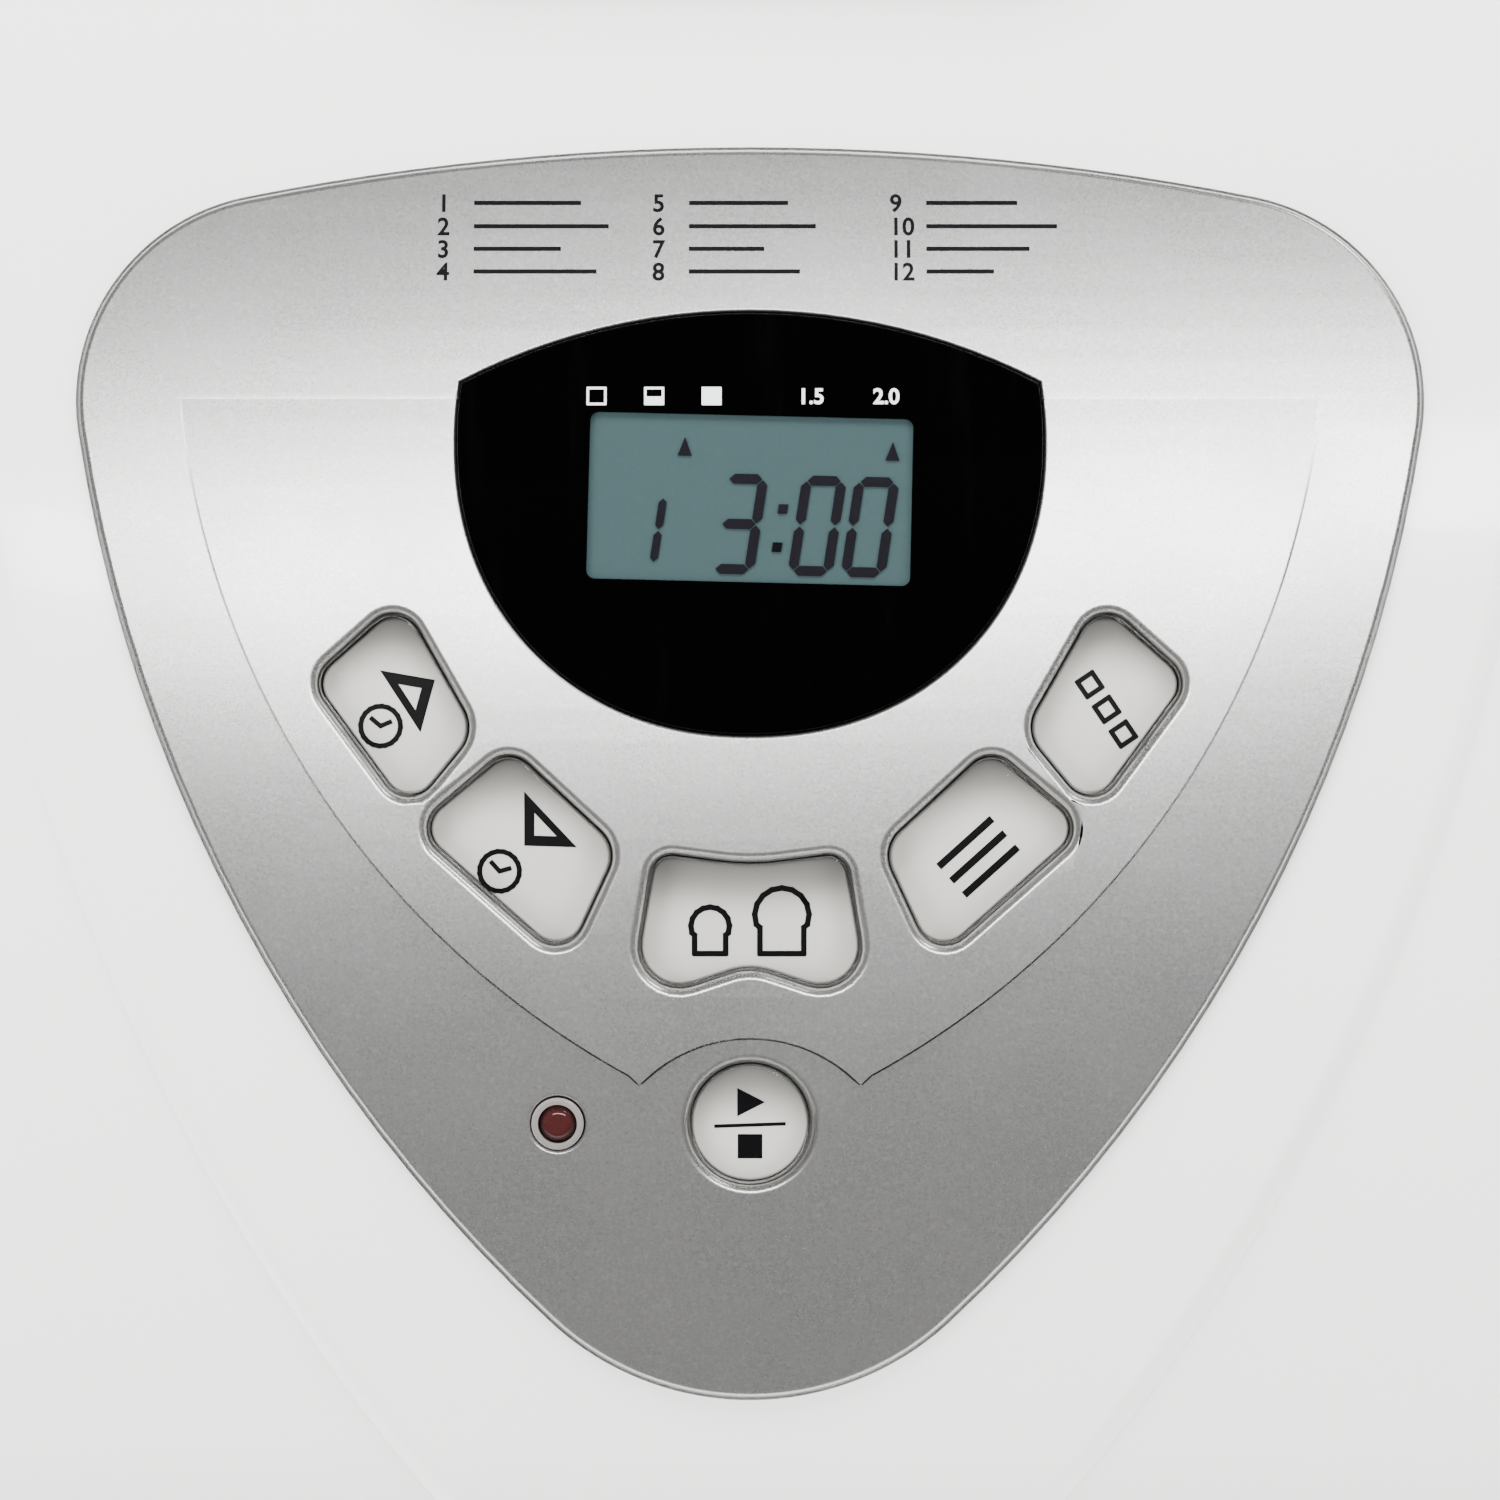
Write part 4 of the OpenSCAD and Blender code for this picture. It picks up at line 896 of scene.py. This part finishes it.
class BREAD_OT_shells(bpy.types.Operator):
    """Model the body shell and the lid from one rounded form"""
    bl_idname = "bread.shells"
    bl_label = "Body and lid"

    def execute(self, context):
        s = Settings(context)
        form, wall = s.form, s.form.s.wall
        outer = raise_field(form, form.solid("outer_form", 0.0, form.s.edge_radius))
        trim(outer, (0, 0, BODY_LOW[2]), (0, 0, -1))
        inner = form.solid("inner_form", wall, form.s.edge_radius - wall)
        self.body(s, copy(outer, "body_cover"), inner)
        self.lid(s, outer, inner)
        bpy.data.objects.remove(inner)
        return {"FINISHED"}

    def block(self, name, low, high):
        """A plain block between two corners, in millimetres, used only to cut with."""
        corners = [(low[0], low[1], low[2]), (high[0], low[1], low[2]), (high[0], high[1], low[2]),
                   (low[0], high[1], low[2])]
        return extrude(sheet(name, corners), 0, 0, high[2] - low[2])

    def body(self, s, shell, inner):
        form, wall, far = s.form, s.form.s.wall, 400.0
        combine(shell, self.block("lid_space", (-far, form.lid_y, SEAM_Z), (far, far, far)))
        under_deck = trim(copy(inner, "under_deck"), (0, form.lid_y - wall, 0), (0, 1, 0))
        combine(shell, under_deck)
        combine(shell, trim(copy(inner, "under_rim"), (0, 0, SEAM_Z - wall), (0, 0, 1)))
        low, high = CHAMBER_LOW, CHAMBER_HIGH
        mouth_w, mouth_d = high[0] - low[0] - 12, high[1] - low[1] - 12
        mouth = round_rect(mouth_w, mouth_d, 28, (0, (low[1] + high[1]) / 2))
        combine(shell, flat_block("mouth", mouth, SEAM_Z - 20, SEAM_Z + 5))
        seat = flat_block("seat", shield(s.panel.half_length, s.panel.seat_gap),
                          s.panel.proud - s.panel.thickness, 12.0)
        combine(shell, form.curve(seat))
        combine(shell, form.curve(flat_block("hatch", shield(s.panel.half_length, -5.0), -12.0, 8.0), 20.0))
        for side in (-1, 1):
            for i in range(8):
                y = (low[1] + high[1]) / 2 + 12 * (i - 3.5)
                z = CHAMBER_LOW[2] - 20
                slot = [(side * (form.half_w - 8), a, b) for a, b in round_rect(4, 26, 1.9, (y, z), 4)]
                combine(shell, extrude(sheet("vent", slot), side * 16, 0, 0))
        cover_low, cover_high = ([v / MM for v in corner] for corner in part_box("rear_cover"))
        combine(shell, self.block("cover_opening", (cover_low[0] - 0.2, cover_low[1] - 1, 0),
                                  (cover_high[0] + 0.2, cover_high[1] + 1, cover_high[2] + 0.2)))
        weigh(shell, 28)
        finish_piece(shell, "housing", "white_plastic", MATERIALS["white_plastic"], "body_shell", "rim_frame")

    def lid(self, s, shell, inner):
        form, wall, far, gap = s.form, s.form.s.wall, 400.0, 0.6
        shell.name = shell.data.name = "lid_cover"
        front, low = form.lid_y + gap, SEAM_Z + gap
        combine(shell, self.block("lid_keep", (-far, front, low), (far, far, far)), "INTERSECT")
        hollow = trim(copy(inner, "lid_hollow"), (0, front + wall, 0), (0, -1, 0))
        combine(shell, trim(hollow, (0, 0, low - 5), (0, 0, -1)))
        width, depth = WINDOW_HIGH[0] - WINDOW_LOW[0], WINDOW_HIGH[1] - WINDOW_LOW[1]
        centre = (0, (WINDOW_LOW[1] + WINDOW_HIGH[1]) / 2)
        pane = round_rect(width + 0.6, depth + 0.6, 14.3, centre)
        combine(shell, flat_block("pane_hole", pane, low + 6, far))
        for i in range(-3, 4):
            slot = round_rect(11, 3, 1.4, (16 * i, centre[1] + depth / 2 + 16), 4)
            combine(shell, flat_block("steam_slot", slot, low + 6, far))
        weigh(shell, 28)
        finish_piece(shell, "lid", "white_plastic", MATERIALS["white_plastic"], "lid_shell")


class BREAD_OT_panel(bpy.types.Operator):
    """Model the silver panel with its raised field and the moats of its buttons"""
    bl_idname = "bread.panel"
    bl_label = "Control panel"

    def execute(self, context):
        s = Settings(context)
        panel, low = s.panel, s.panel.proud - s.panel.thickness
        plate = flat_block("panel_plate", shield(panel.half_length), low, panel.proud)
        bevel(plate, panel.edge, 4, rim_test(low=panel.proud - 0.05))
        top, line = panel.proud + 0.5, step_outline()
        bottom = panel.proud - 0.3
        field = flat_block("panel_field", line, 0.0, top)
        groove = flat_block("field_groove", grown(line, panel.groove), bottom, panel.proud + 2)
        rise = math.tan(math.radians(STEP_TILT))
        for obj, level, sign, depth in ((field, top, 1, 0.0), (groove, bottom, -1, GROOVE_DEPTH)):
            for vertex in obj.data.vertices:
                if abs(vertex.co.z / MM - level) < 0.01:
                    drop = max(STEP_TOP - vertex.co.y / MM, 0.0)
                    sunk = depth * min(1, drop / GROOVE_RUN)
                    vertex.co.z = (panel.proud + sign * (0.001 + drop * rise) - sunk) * MM
        combine(plate, groove)
        combine(plate, field, "UNION")
        with Edit(plate):
            bpy.ops.mesh.remove_doubles(threshold=0.015 * MM)
        holes = [grown(line, panel.moat) for line in button_outlines(panel).values()]
        holes += [lens_outline(), arc(RING_R, 0, 354, LED_AT, 59)]
        for line in holes:
            combine(plate, flat_block("hole", line, low - 3, panel.proud + 4))
        bevel(plate, panel.rim, 6, along(holes[:6], rim_test(low=panel.proud - 0.05)))
        bevel(plate, 0.5, 3, along(holes[6:], rim_test(low=panel.proud - 0.05)))
        # Painted shade for the silver paint: depth below the panel's face, more where the surface faces down the
        # slope or to the left.
        store(plate, "depth", lambda v: max(0.0, panel.proud - v.co.z / MM)
              * (1 - 0.9 * v.normal.y - 0.4 * v.normal.x))
        weigh(s.form.curve(plate), 40)
        finish_piece(plate, "housing", "silver_paint", MATERIALS["silver_paint"], "control_bezel")
        floor = flat_block("moat_floor", shield(panel.half_length, -5.5), low - 0.9, low - 0.3)
        combine(floor, flat_block("hole", grown(lens_outline(), 2), low - 3, panel.proud))
        for line in holes[:6]:
            combine(floor, flat_block("hole", grown(line, -panel.moat + 0.1), low - 3, panel.proud))
        combine(floor, flat_block("hole", arc(RING_R + 1.3, 0, 354, LED_AT, 59), low - 3, panel.proud))
        s.form.curve(floor)
        finish_piece(floor, "housing", "dark_plastic", MATERIALS["moat"])
        return {"FINISHED"}


def cap(name, outline, panel, inset=2.6):
    """A clear button cap: an upright side that rolls over into a soft dome."""
    top, roll = panel.cap_height, 0.75
    obj = flat_block(name, outline, -3.6, top - roll - 0.25)
    with Edit(obj) as edit:
        highest = max(v.co.z for v in obj.data.vertices)
        edit.pick("faces", lambda face: face.calc_center_median().z > highest - 1e-6)
        for i in range(6):
            a, b = math.radians(15 * i), math.radians(15 * (i + 1))
            bpy.ops.mesh.inset(thickness=roll * (math.cos(a) - math.cos(b)) * MM,
                               depth=roll * (math.sin(b) - math.sin(a)) * MM, use_even_offset=True)
        for i in range(6):
            a, b = 1 - (i / 6 - 1) ** 2, 1 - ((i + 1) / 6 - 1) ** 2
            bpy.ops.mesh.inset(thickness=(inset - roll) / 6 * MM, depth=0.25 * (b - a) * MM,
                               use_even_offset=True)
    return obj


class BREAD_OT_buttons(bpy.types.Operator):
    """Model the six clear button caps"""
    bl_idname = "bread.buttons"
    bl_label = "Buttons"

    def execute(self, context):
        s = Settings(context)
        for name, line in button_outlines(s.panel).items():
            obj = cap(f"{name}_cap", line, s.panel, 2.3 if name == "loaf_size" else 3.0)
            s.form.curve(obj, 3.0)
            weigh(obj, 45)
            finish_piece(obj, name, "clear_cap", MATERIALS["cap_shell"], f"{name}_button")
            insert = flat_block(f"{name}_insert", grown(line, -0.15), -3.4, s.panel.insert)
            bevel(insert, 0.35, 3, rim_test(low=s.panel.insert - 0.01))
            weigh(s.form.curve(insert, 1.0), 45)
            # Distance down the slope from the insert's top edge, for the painted shade of its material.
            store(insert, "rise", lambda v, top=top_of(insert, s.form.up): top - s.form.up.dot(v.co) / MM)
            finish_piece(insert, name, "clear_cap", MATERIALS["cap_insert"])
        return {"FINISHED"}


def bar(u, v, width, height, turn=0.0):
    """A turned rectangle as an outline."""
    c, s = math.cos(math.radians(turn)), math.sin(math.radians(turn))
    w, h = width / 2, height / 2
    return [(u + x * c - y * s, v + x * s + y * c) for x, y in ((-w, -h), (w, -h), (w, h), (-w, h))]


def moved(outlines, u, v, turn=0.0, skew=0.0):
    """Outlines slanted, turned and moved to a place."""
    c, s = math.cos(math.radians(turn)), math.sin(math.radians(turn))
    out = []
    for line in outlines:
        slanted = [(x + y * skew, y) for x, y in line]
        out.append([(u + x * c - y * s, v + x * s + y * c) for x, y in slanted])
    return out


def stroke(points, width):
    """Bars along a line of points, closed if its last point is its first."""
    lines = []
    for (x0, y0), (x1, y1) in zip(points, points[1:]):
        gap = math.hypot(x1 - x0, y1 - y0)
        lines.append(bar((x0 + x1) / 2, (y0 + y1) / 2, gap + width * 0.7, width, angle_of(x1 - x0, y1 - y0)))
    return lines


def square(w, h, width, u=0.0, v=0.0):
    """A hollow square around a point, from its half width and half height."""
    return stroke([(u - w, v - h), (u + w, v - h), (u + w, v + h), (u - w, v + h), (u - w, v - h)], width)


def print_piece(name, outlines, height, thickness=0.03):
    """Printed shapes as one thin piece in the panel's plane."""
    parts = [flat_block(name, line, height + 0.0015 * i, height + thickness) for i, line in enumerate(outlines)]
    return join(name, parts)


def ring(u, v, radius, width, steps=20):
    return stroke([(u + x, v + y) for x, y in arc(radius, 0, 360, (0, 0), steps)], width)


def triangle(corners, share=0.42):
    """A bold triangle's outline: a mitred bar along each side."""
    middle = [sum(c[i] for c in corners) / 3 for i in (0, 1)]
    inner = [tuple(m + share * (c - m) for c, m in zip(corner, middle)) for corner in corners]
    return [[corners[i], corners[(i + 1) % 3], inner[(i + 1) % 3], inner[i]] for i in range(3)]


def clock(u, v):
    return ring(u, v, 2.5, 0.65) + stroke([(u, v + 1.5), (u, v), (u + 1.2, v - 0.6)], 0.6)


def loaf(u, v, size):
    """A loaf's outline: flat foot, upright sides and a domed crust."""
    top = arc(0.62, 200, -20, (0, 0.38), 10)
    points = [(-0.5, -0.5), (0.5, -0.5), (0.5, 0.1)] + list(reversed(top)) + [(-0.5, 0.1), (-0.5, -0.5)]
    return stroke([(u + x * size, v + y * size) for x, y in points], 0.72)


def button_marks():
    """Generic marks on each button, in the panel's plane."""
    start_u, start_v = START_AT
    up = triangle([(-46.4, 13.0), (-41.3, 5.2), (-39.5, 11.8)]) + moved(clock(0, 0), -46.3, 6.0, 50)
    down = triangle([(-28.3, -2.2), (-28.3, -9.0), (-21.7, -9.2)]) + moved(clock(0, 0), -31.4, -12.2, 42)
    crust = [line for i in range(3) for line in moved(square(1.1, 1.1, 0.65), 42.6 + 2.1 * i, 11.2 - 3.1 * i, -56)]
    menu = moved([bar(0, y, 9.0, 0.95) for y in (2.4, 0, -2.4)], 28.6, -10.4, 42)
    sizes = loaf(-5.0, -20.6, 3.9) + loaf(4.0, -19.8, 5.5)
    start = [[(start_u - 1.6, start_v + 0.8), (start_u + 1.9, start_v + 2.6), (start_u - 1.6, start_v + 4.4)],
             bar(start_u, start_v - 0.3, 9.0, 0.45, 2), bar(start_u, start_v - 3.0, 3.1, 3.1)]
    return {"time_up": up, "time_down": down, "crust": crust, "menu": menu,
            "loaf_size": sizes, "start_stop": start}


def number(name, text, size, u, v, height):
    """A printed number in the panel's plane."""
    only(None)
    bpy.ops.object.text_add()
    obj = bpy.context.object
    obj.data.body, obj.data.size, obj.data.extrude = text, size * MM / 0.7, 0.015 * MM
    obj.data.resolution_u, obj.data.offset = 6, 0.07 * MM
    bpy.ops.object.convert(target="MESH")
    obj = take(name)
    for vertex in obj.data.vertices:
        vertex.co += Vector((u, v, height + 0.015)) * MM
    return obj


class BREAD_OT_prints(bpy.types.Operator):
    """Print the marks of the buttons and the programme list"""
    bl_idname = "bread.prints"
    bl_label = "Printed marks"

    def execute(self, context):
        s = Settings(context)
        ink = MATERIALS["ink"]
        for name, lines in button_marks().items():
            obj = s.form.lay(print_piece(f"{name}_mark", lines, s.panel.insert))
            finish_piece(obj, name, "clear_cap", ink)
        pieces = []
        columns, rows = (-39.4, -12.3, 17.6), (72.0, 69.0, 66.1, 63.2)
        lengths = (13.5, 17.0, 11.0, 15.5, 12.5, 16.0, 9.5, 14.0, 11.5, 16.5, 13.0, 8.5)
        for i in range(12):
            u, v = columns[i // 4], rows[i % 4]
            pieces.append(number("programme", str(i + 1), 2.2, u, v - 1.1, s.panel.proud))
            pieces.append(flat_block("programme", bar(u + 4.6 + lengths[i] / 2, v, lengths[i], 0.55),
                                     s.panel.proud, s.panel.proud + 0.03))
        legend = join("programme_list", pieces)
        finish_piece(s.form.lay(legend), "housing", "silver_paint", ink)
        return {"FINISHED"}


SEGMENTS = {
    "a": (0, 1, 1, 0), "b": (0.5, 0.5, 0, 1), "c": (0.5, -0.5, 0, 1), "d": (0, -1, 1, 0),
    "e": (-0.5, -0.5, 0, 1), "f": (-0.5, 0.5, 0, 1), "g": (0, 0, 1, 0),
}
DIGITS = {"0": "abcdef", "1": "bc", "3": "abcdg"}


def digit(text, u, v, width, height, stroke_w):
    """The lit segments of one digit, each a bar with pointed ends."""
    out = []
    for key in DIGITS[text]:
        x, y, across, upright = SEGMENTS[key]
        cx, cy = u + x * (width - stroke_w), v + y * (height - stroke_w) / 2
        half = ((width - stroke_w) / 2 if across else (height - stroke_w) / 4) - 0.12
        t = stroke_w / 2
        line = [(-half, 0), (-half + t, t), (half - t, t), (half, 0), (half - t, -t), (-half + t, -t)]
        out.append([(cx + (a if across else b), cy + (b if across else a)) for a, b in line])
    return out


class BREAD_OT_display(bpy.types.Operator):
    """Model the lens, the display in it and the indicator light"""
    bl_idname = "bread.display"
    bl_label = "Display"

    LCD_AT, LCD_SIZE, LCD_TURN = (0.0, 34.4), (40.5, 21.0), -1.4

    def execute(self, context):
        s = Settings(context)
        form, low, top = s.form, s.panel.proud - s.panel.thickness, s.panel.proud + 0.62
        width, height = self.LCD_SIZE
        window = moved([round_rect(width, height, 1.1)], *self.LCD_AT, self.LCD_TURN)[0]
        lens = flat_block("lens_cover", grown(lens_outline(), -0.12), low, top)
        combine(lens, flat_block("window", window, top - 1.1, top + 2))
        bevel(lens, 0.45, 4, lambda e: rim_test(low=top - 0.01)(e) and not self.near_window(e))
        weigh(form.curve(lens), 40)
        finish_piece(lens, "housing", "lens_black", MATERIALS["lens_black"], "display_lens")
        glass = flat_block("display_glass", grown(window, -0.04), top - 0.25, top - 0.02)
        finish_piece(weigh(form.curve(glass), 40), "housing", "lens_black", MATERIALS["lcd_cover"])
        ground = flat_block("display_ground", grown(window, -0.04), top - 0.6, top - 0.42)
        finish_piece(form.curve(ground), "housing", "lcd_grey", MATERIALS["lcd_grey"])
        lines = digit("1", -12.6, -4.2, 4.6, 9.2, 1.0)
        for text, u in (("3", 2.2), ("0", 12.0), ("0", 18.6)):
            lines += digit(text, u - 3.1, -3.2, 5.6, 12.6, 1.25)
        lines += [bar(4.9 - 0.6, -1.2, 1.2, 1.2), bar(4.9 - 0.6, -6.0, 1.2, 1.2)]
        lines = [[(x + 0.13 * y, y) for x, y in line] for line in lines]
        lines += [[(-9.2, 5.2), (-7.4, 5.2), (-8.3, 7.6)], [(16.8, 5.2), (18.6, 5.2), (17.7, 7.6)]]
        digits = print_piece("display_digits", moved(lines, *self.LCD_AT, self.LCD_TURN), top - 0.32, 0.03)
        finish_piece(form.lay(digits), "housing", "lcd_grey", MATERIALS["lcd_ink"])
        self.labels(s, top)
        self.indicator(s)
        return {"FINISHED"}

    def near_window(self, edge):
        """Whether an edge is one of the window's."""
        across, up = edge.verts[0].co.x / MM, edge.verts[0].co.y / MM
        return abs(across - self.LCD_AT[0]) < 21.5 and abs(up - self.LCD_AT[1]) < 11.5

    def labels(self, s, top):
        """Marks above the display: three crust shades, and two loaf sizes."""
        row = 47.3
        pieces = [number("size_mark", text, 1.9, u, row - 0.95, top)
                  for text, u in (("1.5", 6.0), ("2.0", 15.4))]
        squares = [square(1.1, 1.0, 0.3, u, row) for u in (-19.2, -12.0, -4.8)]
        fills = [[bar(-12.0, row - 0.5, 1.9, 0.9)], [bar(-4.8, row, 1.9, 1.8)]]
        pieces.append(print_piece("shade_mark", [line for one in squares for line in one], top))
        pieces.append(print_piece("shade_fill", [line for fill in fills for line in fill], top))
        finish_piece(s.form.lay(join("lens_marks", pieces)), "housing", "lens_black", MATERIALS["white_ink"])

    def indicator(self, s):
        """The dark red light and the clear ring around it."""
        def turned(name, radius, low, high, roll, segments):
            obj = flat_block(name, arc(radius, 0, 354, LED_AT, 59), low, high)
            return bevel(obj, roll, segments, rim_test(low=high - 0.01))
        ring_piece = turned("indicator_collar", RING_R - 0.12, -4.5, 1.55, 0.4, 4)
        combine(ring_piece, flat_block("hole", arc(LED_R + 0.05, 0, 354, LED_AT, 59), -6, 3))
        weigh(s.form.lay(ring_piece), 40)
        finish_piece(ring_piece, "housing", "clear_cap", MATERIALS["ring"], "indicator_ring")
        light = turned("indicator_light", LED_R, -4.5, 1.5, 1.4, 8)
        finish_piece(weigh(s.form.lay(light), 50), "housing", "led_red", MATERIALS["led_red"], "indicator_led")


class BREAD_OT_lid_parts(bpy.types.Operator):
    """Model the lid's grip and knuckles"""
    bl_idname = "bread.lid_parts"
    bl_label = "Grip and hinge"

    def execute(self, context):
        grip = copy(frame["nodes"]["lid_handle"], "lid_grip")
        with Edit(grip):
            bpy.ops.mesh.remove_doubles(threshold=0.01 * MM)
        bevel(grip, 1.2, 4, lambda e: len(e.link_faces) == 2 and e.calc_face_angle() > math.radians(35))
        weigh(grip, 40)
        finish_piece(grip, "lid", "white_plastic", MATERIALS["white_plastic"], "lid_handle")
        knuckles = []
        for side, label in ((-1, "left"), (1, "right")):
            only(None)
            bpy.ops.mesh.primitive_cylinder_add(
                vertices=48, radius=5.8 * MM, depth=12 * MM, rotation=(0, math.pi / 2, 0),
                location=(side * 98.4 * MM, HINGE[1] * MM, HINGE[2] * MM))
            bpy.ops.object.transform_apply(location=True, rotation=True, scale=True)
            knuckle = take(f"lid_knuckle_{label}")
            corners = ((-8.5, 0), (0, 0), (0, 14), (-8.5, 14))
            arm = [(side * 92.4, HINGE[1] + y, HINGE[2] + z) for y, z in corners]
            arm = extrude(sheet("arm", arm), side * 12, 0, 0)
            combine(knuckle, arm, "UNION")
            only(None)
            bpy.ops.mesh.primitive_cylinder_add(
                vertices=48, radius=2.6 * MM, depth=30 * MM, rotation=(0, math.pi / 2, 0),
                location=(side * 98.4 * MM, HINGE[1] * MM, HINGE[2] * MM))
            combine(knuckle, take("pin_hole"))
            bevel(knuckle, 0.5, 3, lambda e: len(e.link_faces) == 2 and e.is_convex
                  and e.calc_face_angle() > math.radians(50))
            knuckles.append(weigh(knuckle, 40))
        pair = join("lid_arms", knuckles)
        finish_piece(pair, "lid", "white_plastic", MATERIALS["white_plastic"], "lid_knuckles")
        return {"FINISHED"}


class BREAD_OT_stage(bpy.types.Operator):
    """Set the floor, the soft lights and the camera"""
    bl_idname = "bread.stage"
    bl_label = "Stage"

    def execute(self, context):
        s = Settings(context)
        form = s.form
        only(None)
        bpy.ops.mesh.primitive_grid_add(x_subdivisions=8, y_subdivisions=8, size=6)
        floor = take("floor")
        m = Maker("pale_floor")
        m.set(Base_Color=m.mix(m.noise(3.0), (0.72, 0.72, 0.71), (0.75, 0.75, 0.745)), Roughness=0.6)
        floor.data.materials.append(m.material)
        world = context.scene.world or bpy.data.worlds.new("World")
        context.scene.world = world
        world.use_nodes = True
        world.node_tree.nodes["Background"].inputs["Color"].default_value = (1, 1, 1, 1)
        world.node_tree.nodes["Background"].inputs["Strength"].default_value = s.stage.fill
        aim = form.at(0, 20, 0)
        across = Vector((1, 0, 0))
        key = form.up * 1.15 + form.out * 0.42 - across * 0.1
        glint = form.up * 0.9 + form.out * 0.55 + across * 0.65
        front = form.up * 0.24 + form.out * 1.16 + across * 0.07
        self.light("key", aim + key, aim, (1.4, 0.5), s.stage.key, False)
        self.light("glint", aim + glint, aim, (0.4, 0.3), s.stage.glint)
        self.light("front", aim + front, aim, (0.85, 0.1), s.stage.front)
        for side, share in ((-1, 1.0), (1, 0.8)):
            self.light("side", aim + across * side * 0.9 + form.out * 0.38 - form.up * 0.3, aim, (0.5, 0.9),
                       s.stage.side * share, False)
        self.camera(context, s)
        return {"FINISHED"}

    def light(self, name, place, aim, size, power, mirrored_in_gloss=True):
        """A soft box that faces a point, and whether glossy surfaces mirror it."""
        only(None)
        bpy.ops.object.light_add(type="AREA", location=place)
        lamp = bpy.context.object
        lamp.name, lamp.visible_glossy = name, mirrored_in_gloss
        lamp.data.shape, lamp.data.energy = "RECTANGLE", power
        lamp.data.size, lamp.data.size_y = size
        lamp.rotation_euler = (aim - Vector(place)).to_track_quat("-Z", "Y").to_euler()

    def camera(self, context, s):
        """A camera square to the panel, upright along its slope."""
        form, sensor = s.form, 36.0
        bpy.ops.object.camera_add()
        camera = bpy.context.object
        camera.data.lens, camera.data.sensor_width = s.stage.lens, sensor
        camera.data.clip_start = 0.01
        distance = s.stage.view_width * s.stage.lens / sensor
        aim = form.origin + form.up * 3.0
        camera.location = (aim + form.out * distance) * MM
        camera.rotation_euler = (math.radians(form.s.panel_slope), 0, 0)
        context.scene.camera = camera


class BREAD_PT_panel(bpy.types.Panel):
    """The pieces and the stage in the sidebar"""
    bl_label = "Bread Machine"
    bl_idname = "BREAD_PT_panel"
    bl_space_type = "VIEW_3D"
    bl_region_type = "UI"
    bl_category = "Bread Machine"

    def draw(self, context):
        for group in GROUPS:
            box = self.layout.box()
            for name in GROUPS[group].__annotations__:
                box.prop(getattr(context.scene, group), name)
        for operator in OPERATORS:
            self.layout.operator(operator.bl_idname)


OPERATORS = (BREAD_OT_finishes, BREAD_OT_shells, BREAD_OT_panel, BREAD_OT_buttons, BREAD_OT_prints,
             BREAD_OT_display, BREAD_OT_lid_parts, BREAD_OT_stage)
GROUPS = {"bread_form": BREAD_PG_form, "bread_panel": BREAD_PG_panel, "bread_colours": BREAD_PG_colours,
          "bread_stage": BREAD_PG_stage}


def register():
    for group in GROUPS.values():
        bpy.utils.register_class(group)
    for name, group in GROUPS.items():
        setattr(bpy.types.Scene, name, bpy.props.PointerProperty(type=group))
    for item in (*OPERATORS, BREAD_PT_panel):
        bpy.utils.register_class(item)


def unregister():
    for item in (BREAD_PT_panel, *reversed(OPERATORS)):
        bpy.utils.unregister_class(item)
    for name in GROUPS:
        delattr(bpy.types.Scene, name)
    for group in GROUPS.values():
        bpy.utils.unregister_class(group)


def main():
    register()
    for operator in OPERATORS:
        group, name = operator.bl_idname.split(".")
        getattr(getattr(bpy.ops, group), name)()


if __name__ == "__main__":
    main()
